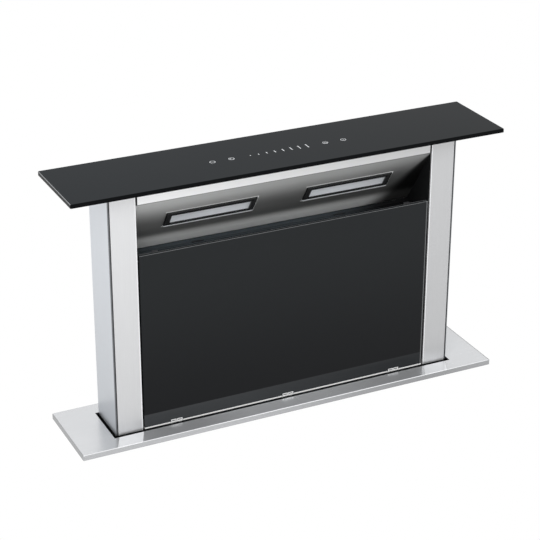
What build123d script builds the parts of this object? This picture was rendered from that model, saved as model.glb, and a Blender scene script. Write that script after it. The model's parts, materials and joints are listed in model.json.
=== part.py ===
from build123d import *
import math
import os

os.makedirs("parts", exist_ok=True)

# A downdraft vent that rises out of the worktop behind a hob. A gearmotor climbs two racks and lifts
# the riser with its lid, lamps, filters and front glass out of a sheet-metal shaft under the worktop.
# The blower on the shaft's front draws air in over the front glass and down through the filters.
# Frame: the origin is the centre of the trim plate's underside, on the worktop. +X is right, -Y is
# towards the cook and +Z is up. The riser is drawn raised. All sizes are in millimetres.

# ------------------------------------------------------------------ driving dimensions
# Trim: a folded tray that lies on the worktop around the slot
trim_width = 600.0
trim_depth = 119.2
trim_height = 7.6
trim_sheet = 1.5
trim_return = 10.0
trim_collar_drop = 12.0
trim_corner = 1.2
trim_edge_break = 0.7
slot_side_gap = 3.4
slot_front_gap = 3.8
slot_rear_gap = 1.0

# Lid of black glass on a steel carrier
lid_thickness = 5.2
lid_corner = 1.5
lid_edge_break = 0.7
lid_raised = 344.3
lid_closed_gap = 1.5
carrier_thickness = 2.6
carrier_inset = 2.5
touch_width = 210.0
touch_depth = 24.0
touch_height = 11.0
touch_y = -5.0
touch_clearance = 0.5
touch_plug = 60.0
touch_plug_height = 5.0

# Riser and its columns
trim_overhang = 55.3
riser_depth = 66.0
riser_front = -31.7
riser_drop = 130.0
column_width = 36.6
cover_sheet = 1.5
cover_return = 2.4
cover_drop = 24.0
frame_sheet = 2.0
fold_radius = 0.9
shadow_gap = 1.4
base_sheet = 2.0
base_lip = 8.0
base_rim_width = 18.0

# Rail, light panel and lamps under the lid
rail_height = 20.0
rail_flange = 13.0
light_sheet = 1.2
light_panel_top = 320.6
light_panel_foot = 235.8
light_panel_foot_y = 28.0
light_panel_flange = 13.0
light_panel_notch = 6.0
lamp_centre_x = 97.5
lamp_down_slope = 45.0
bezel_width = 125.0
bezel_height = 30.0
bezel_proud = 2.0
bezel_edge_break = 0.8
bezel_wall = 2.0
bezel_end_frame = 7.5
bezel_side_frame = 6.0
lamp_body_depth = 9.5
lens_thickness = 2.0
lens_lap = 2.0
lamp_clearance = 0.3

# Front glass, its edge channel, clips and hinges
glass_thickness = 5.0
glass_side_gap = 2.6
glass_top = 253.0
glass_edge_break = 0.6
hinge_z = 7.7
hinge_inset = 44.5
hinge_pin_radius = 1.25
hinge_clearance = 0.05
hinge_barrel_radius = 2.3
hinge_neck = 0.3
channel_sheet = 0.8
channel_front_drop = 2.1
channel_back_rise = 9.8
clip_width = 15.6
clip_loop_width = 4.3
clip_sheet = 0.8
clip_front_rise = 5.2
clip_eye_width = 7.3
clip_eye_frame = 0.8
clip_back_rise = 12.2
clip_cut_gap = 1.2
clip_lip_gap = 0.2
lug_gap = 0.5
apron_top = 4.4
apron_depth = 12.0
catch_size = 8.0
catch_reach = 28.0
catch_drop = 2.0
catch_arm = 3.0
catch_gap = 0.3
strike_thickness = 1.0

# Grease filters in their sloping frame
filter_sheet = 1.2
filter_foot_y = -10.0
filter_foot_z = 20.0
filter_tilt = 10.3
filter_side_gap = 5.1
filter_length = 208.0
filter_thickness = 9.0
filter_rim = 12.0
filter_centre_gap = 6.0
filter_stand = 2.0
filter_window_lap = 8.0
baffle_sheet = 0.8
baffle_count = 6
baffle_width = 18.0
baffle_flange = 3.0
keeper_gap = 2.5
keeper_reach = 7.0
latch_width = 16.0
latch_thickness = 3.0
latch_travel = 5.5
latch_clearance = 0.3
latch_bite = 2.5
latch_pad_width = 24.0
latch_pad_height = 12.0
latch_pad_thickness = 2.5

# Housing under the worktop
housing_sheet = 1.2
housing_side_gap = 14.3
housing_front_gap = 12.3
housing_rear_gap = 9.7
housing_drop = 700.0
housing_flange = 12.0
housing_ear = 20.0
base_flange = 22.0
floor_hole_radius = 2.75
floor_hole_inset = 60.2
bead_depth = 2.0
bead_width = 14.0
bead_inset = 60.0
bead_point = 10.0

# Worktop clamps
worktop_thickness = 38.0
clamp_sheet = 2.5
clamp_length = 60.0
clamp_drop = 30.0
clamp_height = 45.0
clamp_reach = 34.0
clamp_screw_radius = 3.0
clamp_pad_radius = 8.0
clamp_pad_thickness = 4.0
clamp_screw_reach = 12.0

# Guides, racks and lift drive
rail_top = -14.0
guide_rail_sheet = 1.5
guide_rail_width = 30.0
guide_rail_y = -20.0
guide_tip_gap = 2.5
shoe_gap = 0.3
shoe_height = 26.0
shoe_inset = 4.0
shoe_pitch = 86.0
gear_module = 3.0
pinion_teeth = 10
pressure_angle = 20.0
gear_backlash = 0.3
rack_tooth_reach = 0.56
pinion_tooth_reach = 0.9
tooth_root_gap = 0.35
rack_body = 7.0
rack_width = 10.0
rack_run = 20.0
pinion_width = 9.0
shaft_radius = 5.0
shaft_y = 19.0
shaft_above_base = 20.0
shaft_clearance = 0.05
shaft_hole_gap = 2.5
shaft_window = 30.0
bearing_width = 18.0
bearing_height = 30.0
gearbox_x = -80.0
gearbox_width = 40.0
gearbox_height = 50.0
gearbox_depth = 42.0
motor_radius = 18.0
motor_length = 72.0

# Blower and outlet
blower_x = -40.0
blower_z = -520.0
casing_wall = 2.0
casing_depth = 84.0
volute_radius = 108.0
volute_step = 12.0
outlet_height = 100.0
outlet_reach = 135.0
tongue_radius = 12.0
inlet_radius = 75.5
inlet_lip_reach = 10.0
inlet_hole_gap = 6.0
inlet_flats = 40
impeller_radius = 98.0
impeller_rim = 1.5
impeller_ring = 8.0
impeller_bore_gap = 0.05
blade_inner_radius = 82.0
blade_count = 20
blade_sheet = 1.2
blade_lead = 9.0
blade_bow = 3.5
impeller_plate = 2.0
impeller_end_gap = 5.0
impeller_hub_radius = 14.0
impeller_hub_length = 26.0
blower_shaft_radius = 4.0
blower_can_radius = 46.0
blower_can_length = 40.0
blower_flange_width = 108.0
blower_flange = 3.0
duct_radius = 74.5
duct_wall = 2.0
duct_length = 45.0
duct_forward = 35.0
transition_length = 70.0
damper_inset = 14.0
damper_gap = 1.0
damper_sheet = 1.2
damper_barrel_radius = 3.2
damper_pin_radius = 1.6
damper_knuckle_length = 40.0
damper_knuckle_gap = 1.0
damper_root_gap = 1.3

# Control box
control_x = -150.0
control_width = 240.0
control_z = -330.0
control_height = 130.0
control_depth = 40.0
control_wall = 2.0
control_rim = 15.0
vent_pitch = 18.0
vent_count = 7
vent_width = 4.0
gland_radius = 9.0
gland_neck = 7.0
gland_nut = 8.0
gland_bore = 4.0
gland_reach = 22.0
gland_inset = 16.0

# ------------------------------------------------------------------ places that follow from them
riser_half = trim_width / 2 - trim_overhang
riser_rear = riser_front + riser_depth
column_inner = riser_half - column_width
lid_seat = lid_raised - carrier_thickness
travel = lid_raised - trim_height - lid_closed_gap
riser_bottom = -riser_drop
frame_bottom = riser_bottom + base_sheet
cover_back = riser_front + cover_sheet
panel_inner_x = riser_half - cover_sheet
panel_inner_y = riser_rear - cover_sheet
slot_x = riser_half + slot_side_gap
slot_front = riser_front - slot_front_gap
slot_rear = riser_rear + slot_rear_gap
housing_x = riser_half + housing_side_gap
housing_front_y = riser_front - housing_front_gap
housing_rear_y = riser_rear + housing_rear_gap
housing_outer_x = housing_x + housing_sheet
housing_top = trim_height - trim_sheet
housing_bottom = -housing_drop
glass_half = column_inner - glass_side_gap
glass_back = riser_front + glass_thickness
hinge_y = glass_back + clip_sheet - hinge_barrel_radius
glass_bottom = hinge_z + hinge_barrel_radius + 0.1
hinge_places = (hinge_inset - glass_half, 0.0, glass_half - hinge_inset)
SIDES = (("left", -1), ("right", 1))


# ------------------------------------------------------------------ drawing helpers
def plan(z):
    """Drawing plane seen from above at height z: extrusions go up."""
    return Plane.XY.offset(z)


def front(y):
    """Drawing plane seen from the front at depth y: extrusions come forward."""
    return Plane.XZ.offset(-y)


def section(x):
    """Cross-section at x, drawn in Y and Z: extrusions go right."""
    return Plane.YZ.offset(x)


def rect(x0, y0, x1, y1, mode=Mode.ADD):
    """A rectangle of the sketch between two of its corners."""
    with Locations(((x0 + x1) / 2, (y0 + y1) / 2)):
        Rectangle(abs(x1 - x0), abs(y1 - y0), mode=mode)


def folded(points, thickness, side=Side.LEFT):
    """A sheet seen edge on, folded along the points, with its thickness on one side of them."""
    with BuildLine(mode=Mode.PRIVATE) as fold:
        Polyline(*points)
        offset(amount=thickness, side=side, kind=Kind.INTERSECTION)
    make_face(fold.edges())


def eight_sided(radius, mode=Mode.ADD):
    """Section with eight flats at that distance from its middle, for small pins' barrels and bores."""
    RegularPolygon(radius, 8, major_radius=False, mode=mode)


def inner_side(hand):
    """Side of a run drawn from front to rear that faces the middle of the vent."""
    return Side.LEFT if hand > 0 else Side.RIGHT


def outer_side(hand):
    """Side of a run drawn from front to rear that faces away from the middle of the vent."""
    return Side.RIGHT if hand > 0 else Side.LEFT


# ------------------------------------------------------------------ trim plate
with BuildPart() as trim_plate:
    with BuildSketch(plan(0)):
        RectangleRounded(trim_width, trim_depth, trim_corner)
    extrude(amount=trim_height)
    # the tray is hollow, with a flange folded in under its skirt
    with BuildSketch(plan(trim_sheet)):
        Rectangle(trim_width - 2 * trim_sheet, trim_depth - 2 * trim_sheet)
    extrude(amount=trim_height - 2 * trim_sheet, mode=Mode.SUBTRACT)
    with BuildSketch(plan(0)):
        Rectangle(trim_width - 2 * trim_return, trim_depth - 2 * trim_return)
    extrude(amount=trim_sheet, mode=Mode.SUBTRACT)
    # collar round the slot
    with BuildSketch(plan(-trim_collar_drop)):
        rect(
            -slot_x - trim_sheet,
            slot_front - trim_sheet,
            slot_x + trim_sheet,
            slot_rear + trim_sheet,
        )
    extrude(amount=trim_collar_drop + trim_height)
    with BuildSketch(plan(-trim_collar_drop)):
        rect(-slot_x, slot_front, slot_x, slot_rear)
    extrude(amount=trim_collar_drop + trim_height, mode=Mode.SUBTRACT)
    chamfer(trim_plate.edges().group_by(Axis.Z)[-1], trim_edge_break)
trim_plate.part.label = "trim_plate"
export_step(trim_plate.part, "parts/trim_plate.step")


# ------------------------------------------------------------------ housing
def bead_outline(z, inset):
    """A pressed bead across a panel at height z: long, with pointed ends, drawn inset from its edge."""
    end = housing_x - bead_inset - inset
    half = bead_width / 2 - inset
    shoulder = end - bead_point
    Polygon(
        (-end, z),
        (-shoulder, z + half),
        (shoulder, z + half),
        (end, z),
        (shoulder, z - half),
        (-shoulder, z - half),
        align=None,
    )


def press_beads(outside, heights, outwards):
    """Presses beads into a panel from inside: they stand out from its face by the bead's depth."""
    with BuildSketch(front(outside)) as raised:
        for z in heights:
            bead_outline(z, 0)
    extrude(raised.sketch, amount=-outwards * bead_depth)
    with BuildSketch(front(outside - outwards * housing_sheet)) as hollow:
        for z in heights:
            bead_outline(z, housing_sheet)
    extrude(hollow.sketch, amount=-outwards * bead_depth, mode=Mode.SUBTRACT)


def spread(low, high, count):
    """Heights spread evenly between two heights."""
    return [low + (high - low) * (i + 0.5) / count for i in range(count)]


with BuildPart() as housing_rear:
    with BuildSketch(front(housing_rear_y + housing_sheet)):
        rect(-housing_outer_x, housing_bottom, housing_outer_x, housing_top)
    extrude(amount=housing_sheet)
    press_beads(housing_rear_y + housing_sheet, spread(housing_bottom, -worktop_thickness, 5), 1)
housing_rear.part.label = "housing_rear"
export_step(housing_rear.part, "parts/housing_rear.step")

with BuildPart() as housing_front:
    with BuildSketch(front(housing_front_y)):
        rect(-housing_outer_x, housing_bottom, housing_outer_x, housing_top)
        with Locations((blower_x, blower_z)):
            Circle(inlet_radius + inlet_hole_gap, mode=Mode.SUBTRACT)
    extrude(amount=housing_sheet)
    press_beads(
        housing_front_y - housing_sheet,
        spread(control_z + control_height, -worktop_thickness, 2),
        -1,
    )
housing_front.part.label = "housing_front"
export_step(housing_front.part, "parts/housing_front.step")

for name, hand in SIDES:
    outer = hand * housing_outer_x
    lap = hand * (housing_outer_x - housing_flange)
    with BuildPart() as housing_side:
        with BuildSketch(plan(housing_bottom)):
            folded(
                [
                    (lap, housing_front_y),
                    (outer, housing_front_y),
                    (outer, housing_rear_y),
                    (lap, housing_rear_y),
                ],
                housing_sheet,
                inner_side(hand),
            )
        extrude(amount=housing_top - housing_bottom)
        # ear folded out under the trim's top, which hangs the shaft from the trim
        with BuildSketch(plan(housing_top - housing_sheet)):
            rect(outer, housing_front_y, outer + hand * housing_ear, housing_rear_y)
        extrude(amount=housing_sheet)
    housing_side.part.label = f"housing_side_{name}"
    export_step(housing_side.part, f"parts/housing_side_{name}.step")

floor_hole_x = housing_outer_x - floor_hole_inset
with BuildPart() as housing_base:
    with BuildSketch(section(0)):
        folded(
            [
                (housing_front_y, housing_bottom + base_flange),
                (housing_front_y, housing_bottom),
                (housing_rear_y, housing_bottom),
                (housing_rear_y, housing_bottom + base_flange),
            ],
            housing_sheet,
        )
    extrude(amount=housing_outer_x - housing_flange, both=True)
    with BuildSketch(plan(housing_bottom)):
        rect(-housing_x, housing_front_y + housing_sheet, housing_x, housing_rear_y - housing_sheet)
    extrude(amount=housing_sheet)
    with BuildSketch(plan(housing_bottom)):
        with Locations((-floor_hole_x, 0), (floor_hole_x, 0)):
            Circle(floor_hole_radius)
    extrude(amount=housing_sheet, mode=Mode.SUBTRACT)
housing_base.part.label = "housing_base"
export_step(housing_base.part, "parts/housing_base.step")

# ------------------------------------------------------------------ worktop clamps
clamp_top = -worktop_thickness - clamp_drop
clamp_screw_x = housing_outer_x + clamp_reach - clamp_pad_radius - clamp_sheet

with BuildPart() as worktop_clamps:
    for name, hand in SIDES:
        wall = hand * housing_outer_x
        tip = wall + hand * clamp_reach
        with BuildSketch(front(clamp_length / 2)):
            folded(
                [(wall, clamp_top - clamp_height), (wall, clamp_top), (tip, clamp_top)],
                clamp_sheet,
                outer_side(hand),
            )
        extrude(amount=clamp_length)
    with BuildSketch(plan(clamp_top - clamp_sheet)):
        with GridLocations(2 * clamp_screw_x, 0, 2, 1):
            eight_sided(clamp_screw_radius + shaft_clearance)
    extrude(amount=clamp_sheet, mode=Mode.SUBTRACT)
worktop_clamps.part.label = "worktop_clamps"
export_step(worktop_clamps.part, "parts/worktop_clamps.step")

with BuildPart() as clamp_screws:
    screw_bottom = clamp_top - clamp_sheet - clamp_screw_reach
    pad_bottom = -worktop_thickness - clamp_pad_thickness
    with BuildSketch(plan(screw_bottom)):
        with GridLocations(2 * clamp_screw_x, 0, 2, 1):
            Circle(clamp_screw_radius)
    extrude(amount=pad_bottom - screw_bottom)
    with BuildSketch(plan(pad_bottom)):
        with GridLocations(2 * clamp_screw_x, 0, 2, 1):
            RegularPolygon(clamp_pad_radius, 8)
    extrude(amount=clamp_pad_thickness)
    with BuildSketch(plan(screw_bottom)):
        with GridLocations(2 * clamp_screw_x, 0, 2, 1):
            RegularPolygon(1.8 * clamp_screw_radius, 6)
    extrude(amount=1.6 * clamp_screw_radius)
clamp_screws.part.label = "clamp_screws"
export_step(clamp_screws.part, "parts/clamp_screws.step")

# ------------------------------------------------------------------ guide rails, racks and shaft place
shaft_z = riser_bottom + shaft_above_base
pinion_radius = gear_module * pinion_teeth / 2
rack_pitch_y = shaft_y + pinion_radius
tooth_pitch = math.pi * gear_module
rail_bottom = riser_bottom - travel - 2 * shoe_inset
guide_tip_x = riser_half + guide_tip_gap

for name, hand in SIDES:
    tip = hand * guide_tip_x
    wall = hand * housing_x
    rail_front = guide_rail_y - guide_rail_width / 2
    rail_rear = guide_rail_y + guide_rail_width / 2
    with BuildPart() as guide_rail:
        with BuildSketch(plan(rail_bottom)):
            folded(
                [(tip, rail_front), (wall, rail_front), (wall, rail_rear), (tip, rail_rear)],
                guide_rail_sheet,
                inner_side(hand),
            )
        extrude(amount=rail_top - rail_bottom)
    guide_rail.part.label = f"guide_rail_{name}"
    export_step(guide_rail.part, f"parts/guide_rail_{name}.step")

rack_top = shaft_z + rack_run
rack_bottom = shaft_z - travel - rack_run
rack_tip_y = rack_pitch_y - rack_tooth_reach * gear_module
rack_root_y = rack_pitch_y + (pinion_tooth_reach + tooth_root_gap) * gear_module
rack_back_y = rack_pitch_y + rack_body


def rack_outline():
    """Corners of a rack whose spaces line up with the shaft: straight flanks at the pressure angle."""
    lean = math.tan(math.radians(pressure_angle))
    half = tooth_pitch / 4 - gear_backlash / 2
    tip_half = half - (rack_pitch_y - rack_tip_y) * lean
    root_half = half + (rack_root_y - rack_pitch_y) * lean
    first = math.ceil((rack_bottom + root_half - shaft_z) / tooth_pitch - 0.5)
    last = math.floor((rack_top - root_half - shaft_z) / tooth_pitch - 0.5)
    points = [(rack_back_y, rack_bottom), (rack_root_y, rack_bottom)]
    for tooth in range(first, last + 1):
        middle = shaft_z + (tooth + 0.5) * tooth_pitch
        points += [
            (rack_root_y, middle - root_half),
            (rack_tip_y, middle - tip_half),
            (rack_tip_y, middle + tip_half),
            (rack_root_y, middle + root_half),
        ]
    return points + [(rack_root_y, rack_top), (rack_back_y, rack_top)]


for name, hand in SIDES:
    with BuildPart() as rack:
        with BuildSketch(section(hand * housing_x)):
            Polygon(*rack_outline(), align=None)
        extrude(amount=-hand * rack_width)
    rack.part.label = f"rack_{name}"
    export_step(rack.part, f"parts/rack_{name}.step")

# ------------------------------------------------------------------ lift shaft and pinions
pinion_outer_x = housing_x - 0.5


def involute(angle):
    return math.tan(angle) - angle


def pinion_outline():
    """Corners of a pinion about its own centre, one tooth pointing along the first axis."""
    base = pinion_radius * math.cos(math.radians(pressure_angle))
    tip = pinion_radius + pinion_tooth_reach * gear_module
    root = pinion_radius - (rack_tooth_reach + tooth_root_gap) * gear_module
    pitch_half = (tooth_pitch / 2 - gear_backlash) / 2 / pinion_radius
    radii = [root, base, pinion_radius, tip]
    flank = []
    for radius in radii:
        roll = math.acos(min(1.0, base / radius))
        flank.append((radius, pitch_half + involute(math.radians(pressure_angle)) - involute(roll)))
    points = []
    for tooth in range(pinion_teeth):
        middle = 2 * math.pi * tooth / pinion_teeth
        for radius, half in flank:
            points.append((radius * math.cos(middle - half), radius * math.sin(middle - half)))
        for radius, half in reversed(flank):
            points.append((radius * math.cos(middle + half), radius * math.sin(middle + half)))
    return points


with BuildPart() as lift_shaft:
    with BuildSketch(section(0)):
        with Locations((shaft_y, shaft_z)):
            Circle(shaft_radius)
    extrude(amount=pinion_outer_x, both=True)
lift_shaft.part.label = "lift_shaft"
export_step(lift_shaft.part, "parts/lift_shaft.step")

with BuildPart() as lift_pinions:
    for name, hand in SIDES:
        with BuildSketch(section(hand * pinion_outer_x)):
            with Locations((shaft_y, shaft_z)):
                Polygon(*pinion_outline(), align=None)
                eight_sided(shaft_radius + shaft_clearance, Mode.SUBTRACT)
        extrude(amount=-hand * pinion_width)
lift_pinions.part.label = "lift_pinions"
export_step(lift_pinions.part, "parts/lift_pinions.step")

# ------------------------------------------------------------------ blower
# The volute is drawn about the impeller's centre, in X and Z, growing by one step each quarter turn.
second_radius = volute_radius + volute_step
third_radius = second_radius + volute_step
outlet_floor = -volute_step - third_radius
outlet_roof = outlet_floor + outlet_height
casing_rear = housing_front_y - housing_sheet - casing_wall
casing_front = casing_rear - casing_depth
inlet_mouth = inlet_radius + inlet_hole_gap
inlet_taper = math.degrees(math.atan(inlet_hole_gap / (casing_wall + inlet_lip_reach)))

with BuildSketch() as volute:
    with BuildLine():
        CenterArc((0, 0), volute_radius, 0, 90)
        CenterArc((0, -volute_step), second_radius, 90, 90)
        CenterArc((volute_step, -volute_step), third_radius, 180, 90)
        Polyline(
            (volute_step, outlet_floor),
            (outlet_reach, outlet_floor),
            (outlet_reach, outlet_roof),
            (volute_radius + tongue_radius, outlet_roof),
        )
        CenterArc((volute_radius + tongue_radius, outlet_roof + tongue_radius), tongue_radius, 180, 90)
        Line((volute_radius, outlet_roof + tongue_radius), (volute_radius, 0))
    make_face()

volute_outside = offset(volute.sketch, amount=casing_wall, kind=Kind.INTERSECTION, mode=Mode.PRIVATE)

with BuildPart() as blower_casing:
    with BuildSketch(front(casing_rear)):
        with Locations((blower_x, blower_z)):
            add(volute_outside)
    extrude(amount=casing_depth + casing_wall)
    with BuildSketch(front(casing_rear)):
        with Locations((blower_x, blower_z)):
            add(volute.sketch)
    extrude(amount=casing_depth, mode=Mode.SUBTRACT)
    # the outlet's end is open, and so is the middle of the front wall, behind the motor's flange
    with BuildSketch(front(casing_rear)):
        rect(
            blower_x + outlet_reach,
            blower_z + outlet_floor,
            blower_x + outlet_reach + casing_wall,
            blower_z + outlet_roof,
        )
    extrude(amount=casing_depth, mode=Mode.SUBTRACT)
    with BuildSketch(front(casing_front)):
        with Locations((blower_x, blower_z)):
            Rectangle(2 * impeller_hub_radius + inlet_hole_gap, 2 * impeller_hub_radius + inlet_hole_gap)
    extrude(amount=casing_wall, mode=Mode.SUBTRACT)
blower_casing.part.label = "blower_casing"
export_step(blower_casing.part, "parts/blower_casing.step")

with BuildPart() as blower_inlet_plate:
    with BuildSketch(front(casing_rear + casing_wall)):
        with Locations((blower_x, blower_z)):
            add(volute_outside)
    extrude(amount=casing_wall)
    # tapered mouth that leads the air into the wheel, its outside and then its bore
    for radius, mode in ((inlet_mouth + casing_wall, Mode.ADD), (inlet_mouth, Mode.SUBTRACT)):
        with BuildSketch(front(casing_rear + casing_wall)):
            with Locations((blower_x, blower_z)):
                RegularPolygon(radius, inlet_flats)
        extrude(amount=casing_wall + inlet_lip_reach, taper=inlet_taper, mode=mode)
blower_inlet_plate.part.label = "blower_inlet_plate"
export_step(blower_inlet_plate.part, "parts/blower_inlet_plate.step")

wheel_plate_rear = casing_front + impeller_end_gap + impeller_plate
wheel_inlet_y = casing_rear - impeller_end_gap

# a blade is a strip with one fold, curved forwards
blade_turn = math.radians(blade_lead)
blade_tip = (impeller_radius * math.cos(blade_turn), impeller_radius * math.sin(blade_turn))
blade_chord = math.dist((blade_inner_radius, 0), blade_tip)
blade_fold = (
    (blade_inner_radius + blade_tip[0]) / 2 + blade_bow * blade_tip[1] / blade_chord,
    blade_tip[1] / 2 - blade_bow * (blade_tip[0] - blade_inner_radius) / blade_chord,
)
with BuildSketch() as blade:
    folded([(blade_inner_radius, 0), blade_fold, blade_tip], blade_sheet)

rim_radius = impeller_radius + impeller_rim
rim_flats = 2 * blade_count
with BuildPart() as impeller:
    with BuildSketch(front(wheel_plate_rear)):
        with Locations((blower_x, blower_z)):
            RegularPolygon(rim_radius, rim_flats)
    extrude(amount=impeller_plate)
    with BuildSketch(front(wheel_inlet_y)):
        with Locations((blower_x, blower_z)):
            RegularPolygon(rim_radius, rim_flats)
            RegularPolygon(rim_radius - impeller_ring, rim_flats, mode=Mode.SUBTRACT)
    extrude(amount=impeller_plate)
    with BuildSketch(front(wheel_inlet_y)):
        with Locations((blower_x, blower_z)):
            with PolarLocations(0, blade_count):
                add(blade.sketch)
    extrude(amount=wheel_inlet_y - wheel_plate_rear)
    with BuildSketch(front(wheel_plate_rear + impeller_hub_length)):
        with Locations((blower_x, blower_z)):
            Circle(impeller_hub_radius)
    extrude(amount=impeller_hub_length)
    with BuildSketch(front(wheel_plate_rear + impeller_hub_length)):
        with Locations((blower_x, blower_z)):
            Circle(blower_shaft_radius + impeller_bore_gap)
    extrude(amount=impeller_hub_length + impeller_plate, mode=Mode.SUBTRACT)
impeller.part.label = "impeller"
export_step(impeller.part, "parts/impeller.step")

motor_seat = casing_front - casing_wall
with BuildPart() as blower_motor:
    with BuildSketch(front(motor_seat)):
        with Locations((blower_x, blower_z)):
            Rectangle(blower_flange_width, blower_flange_width)
    extrude(amount=blower_flange)
    with BuildSketch(front(motor_seat - blower_flange)):
        with Locations((blower_x, blower_z)):
            Circle(blower_can_radius)
    extrude(amount=blower_can_length - blower_flange)
    with BuildSketch(front(wheel_plate_rear + impeller_hub_length)):
        with Locations((blower_x, blower_z)):
            Circle(blower_shaft_radius)
    extrude(amount=wheel_plate_rear + impeller_hub_length - motor_seat)
blower_motor.part.label = "blower_motor"
export_step(blower_motor.part, "parts/blower_motor.step")

# ------------------------------------------------------------------ outlet collar and non-return flaps
outlet_x = blower_x + outlet_reach + casing_wall
outlet_y = (casing_rear + casing_front) / 2
outlet_z = blower_z + (outlet_floor + outlet_roof) / 2
duct_y = outlet_y - duct_forward
duct_start = outlet_x + transition_length
duct_bore = duct_radius - duct_wall


# Box with flat tapering sides from the casing's mouth to the collar: its outside, then its inside.
lead_in_shapes = []
for grow in (duct_wall, 0):
    wide = duct_radius + grow
    with BuildPart() as lead_in:
        with BuildSketch(plan(outlet_z - wide)):
            Polygon(
                (outlet_x, casing_rear + grow),
                (duct_start, duct_y + wide),
                (duct_start, duct_y - wide),
                (outlet_x, casing_front - grow),
                align=None,
            )
        extrude(amount=2 * wide)
        with BuildSketch(front(0)):
            Polygon(
                (outlet_x, outlet_z + outlet_height / 2 + grow),
                (duct_start, outlet_z + wide),
                (duct_start, outlet_z - wide),
                (outlet_x, outlet_z - outlet_height / 2 - grow),
                align=None,
            )
        extrude(amount=2 * wide - duct_y, mode=Mode.INTERSECT)
    lead_in_shapes.append(lead_in.part)

with BuildPart() as outlet_spigot:
    add(lead_in_shapes[0])
    add(lead_in_shapes[1], mode=Mode.SUBTRACT)
    # end plate with the round collar that a 150 mm duct slips over
    with BuildSketch(section(duct_start)):
        with Locations((duct_y, outlet_z)):
            Rectangle(2 * duct_radius + 2 * duct_wall, 2 * duct_radius + 2 * duct_wall)
    extrude(amount=duct_wall)
    with BuildSketch(section(duct_start)):
        with Locations((duct_y, outlet_z)):
            Circle(duct_radius)
    extrude(amount=duct_length)
    with BuildSketch(section(duct_start)):
        with Locations((duct_y, outlet_z)):
            Circle(duct_bore)
    extrude(amount=duct_length, mode=Mode.SUBTRACT)
outlet_spigot.part.label = "outlet_spigot"
export_step(outlet_spigot.part, "parts/outlet_spigot.step")

damper_x = duct_start + damper_inset
flap_radius = duct_bore - damper_gap
with BuildPart() as damper_pin:
    pin_half = duct_bore - shaft_clearance
    with BuildSketch(plan(outlet_z - pin_half)):
        with Locations((damper_x, duct_y)):
            Circle(damper_pin_radius)
    extrude(amount=2 * pin_half)
damper_pin.part.label = "damper_pin"
export_step(damper_pin.part, "parts/damper_pin.step")

# Each flap is half a disc that hangs on one knuckle: the front one's is above, the rear one's below.
flap_root = damper_barrel_radius + damper_root_gap
for name, away, knuckle_low in (
    ("front", -1, damper_knuckle_gap / 2),
    ("rear", 1, -damper_knuckle_gap / 2 - damper_knuckle_length),
):
    with BuildPart() as flap:
        with BuildSketch(section(damper_x - damper_sheet / 2)):
            with Locations((duct_y, outlet_z)):
                Circle(flap_radius)
            rect(
                duct_y + away * flap_root,
                outlet_z - flap_radius,
                duct_y - away * flap_radius,
                outlet_z + flap_radius,
                Mode.SUBTRACT,
            )
            rect(
                duct_y,
                outlet_z + knuckle_low,
                duct_y + away * (flap_root + damper_sheet),
                outlet_z + knuckle_low + damper_knuckle_length,
            )
        extrude(amount=damper_sheet)
        with BuildSketch(plan(outlet_z + knuckle_low)):
            with Locations((damper_x, duct_y)):
                eight_sided(damper_barrel_radius)
        extrude(amount=damper_knuckle_length)
        with BuildSketch(plan(outlet_z + knuckle_low)):
            with Locations((damper_x, duct_y)):
                eight_sided(damper_pin_radius + shaft_clearance)
        extrude(amount=damper_knuckle_length, mode=Mode.SUBTRACT)
    flap.part.label = f"damper_flap_{name}"
    export_step(flap.part, f"parts/damper_flap_{name}.step")

# ------------------------------------------------------------------ control box and mains entry
control_back = housing_front_y - housing_sheet
control_right = control_x + control_width
control_centre = (control_x + control_width / 2, control_z + control_height / 2)
gland_place = (control_back - control_depth / 2, control_z + gland_inset)

with BuildPart() as control_box:
    with BuildSketch(front(control_back)):
        with Locations(control_centre):
            Rectangle(control_width, control_height)
    extrude(amount=control_depth)
    with BuildSketch(front(control_back - control_wall)):
        with Locations(control_centre):
            Rectangle(control_width - 2 * control_wall, control_height - 2 * control_wall)
    extrude(amount=control_depth, mode=Mode.SUBTRACT)
    with BuildSketch(section(control_right - control_wall)):
        with Locations(gland_place):
            eight_sided(gland_bore)
    extrude(amount=control_wall, mode=Mode.SUBTRACT)
control_box.part.label = "control_box"
export_step(control_box.part, "parts/control_box.step")

with BuildPart() as control_box_lid:
    with BuildSketch(front(control_back - control_depth)):
        with Locations(control_centre):
            Rectangle(control_width, control_height)
    extrude(amount=control_wall)
    # raised field with cooling slots
    with BuildSketch(front(control_back - control_depth - control_wall)):
        with Locations(control_centre):
            Rectangle(control_width - 2 * control_rim, control_height - 2 * control_rim)
    extrude(amount=control_wall)
    with BuildSketch(front(control_back - control_depth)):
        with Locations(control_centre):
            with GridLocations(vent_pitch, 0, vent_count, 1):
                Rectangle(vent_width, control_height - 4 * control_rim)
    extrude(amount=2 * control_wall, mode=Mode.SUBTRACT)
control_box_lid.part.label = "control_box_lid"
export_step(control_box_lid.part, "parts/control_box_lid.step")

with BuildPart() as cable_gland:
    with BuildSketch(section(control_right)):
        with Locations(gland_place):
            RegularPolygon(gland_radius, 6)
    extrude(amount=gland_nut)
    with BuildSketch(section(control_right + gland_nut)):
        with Locations(gland_place):
            RegularPolygon(gland_neck, 16)
    extrude(amount=gland_reach - gland_nut)
    with BuildSketch(section(control_right)):
        with Locations(gland_place):
            Circle(gland_bore)
    extrude(amount=gland_reach, mode=Mode.SUBTRACT)
cable_gland.part.label = "cable_gland"
export_step(cable_gland.part, "parts/cable_gland.step")

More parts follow.
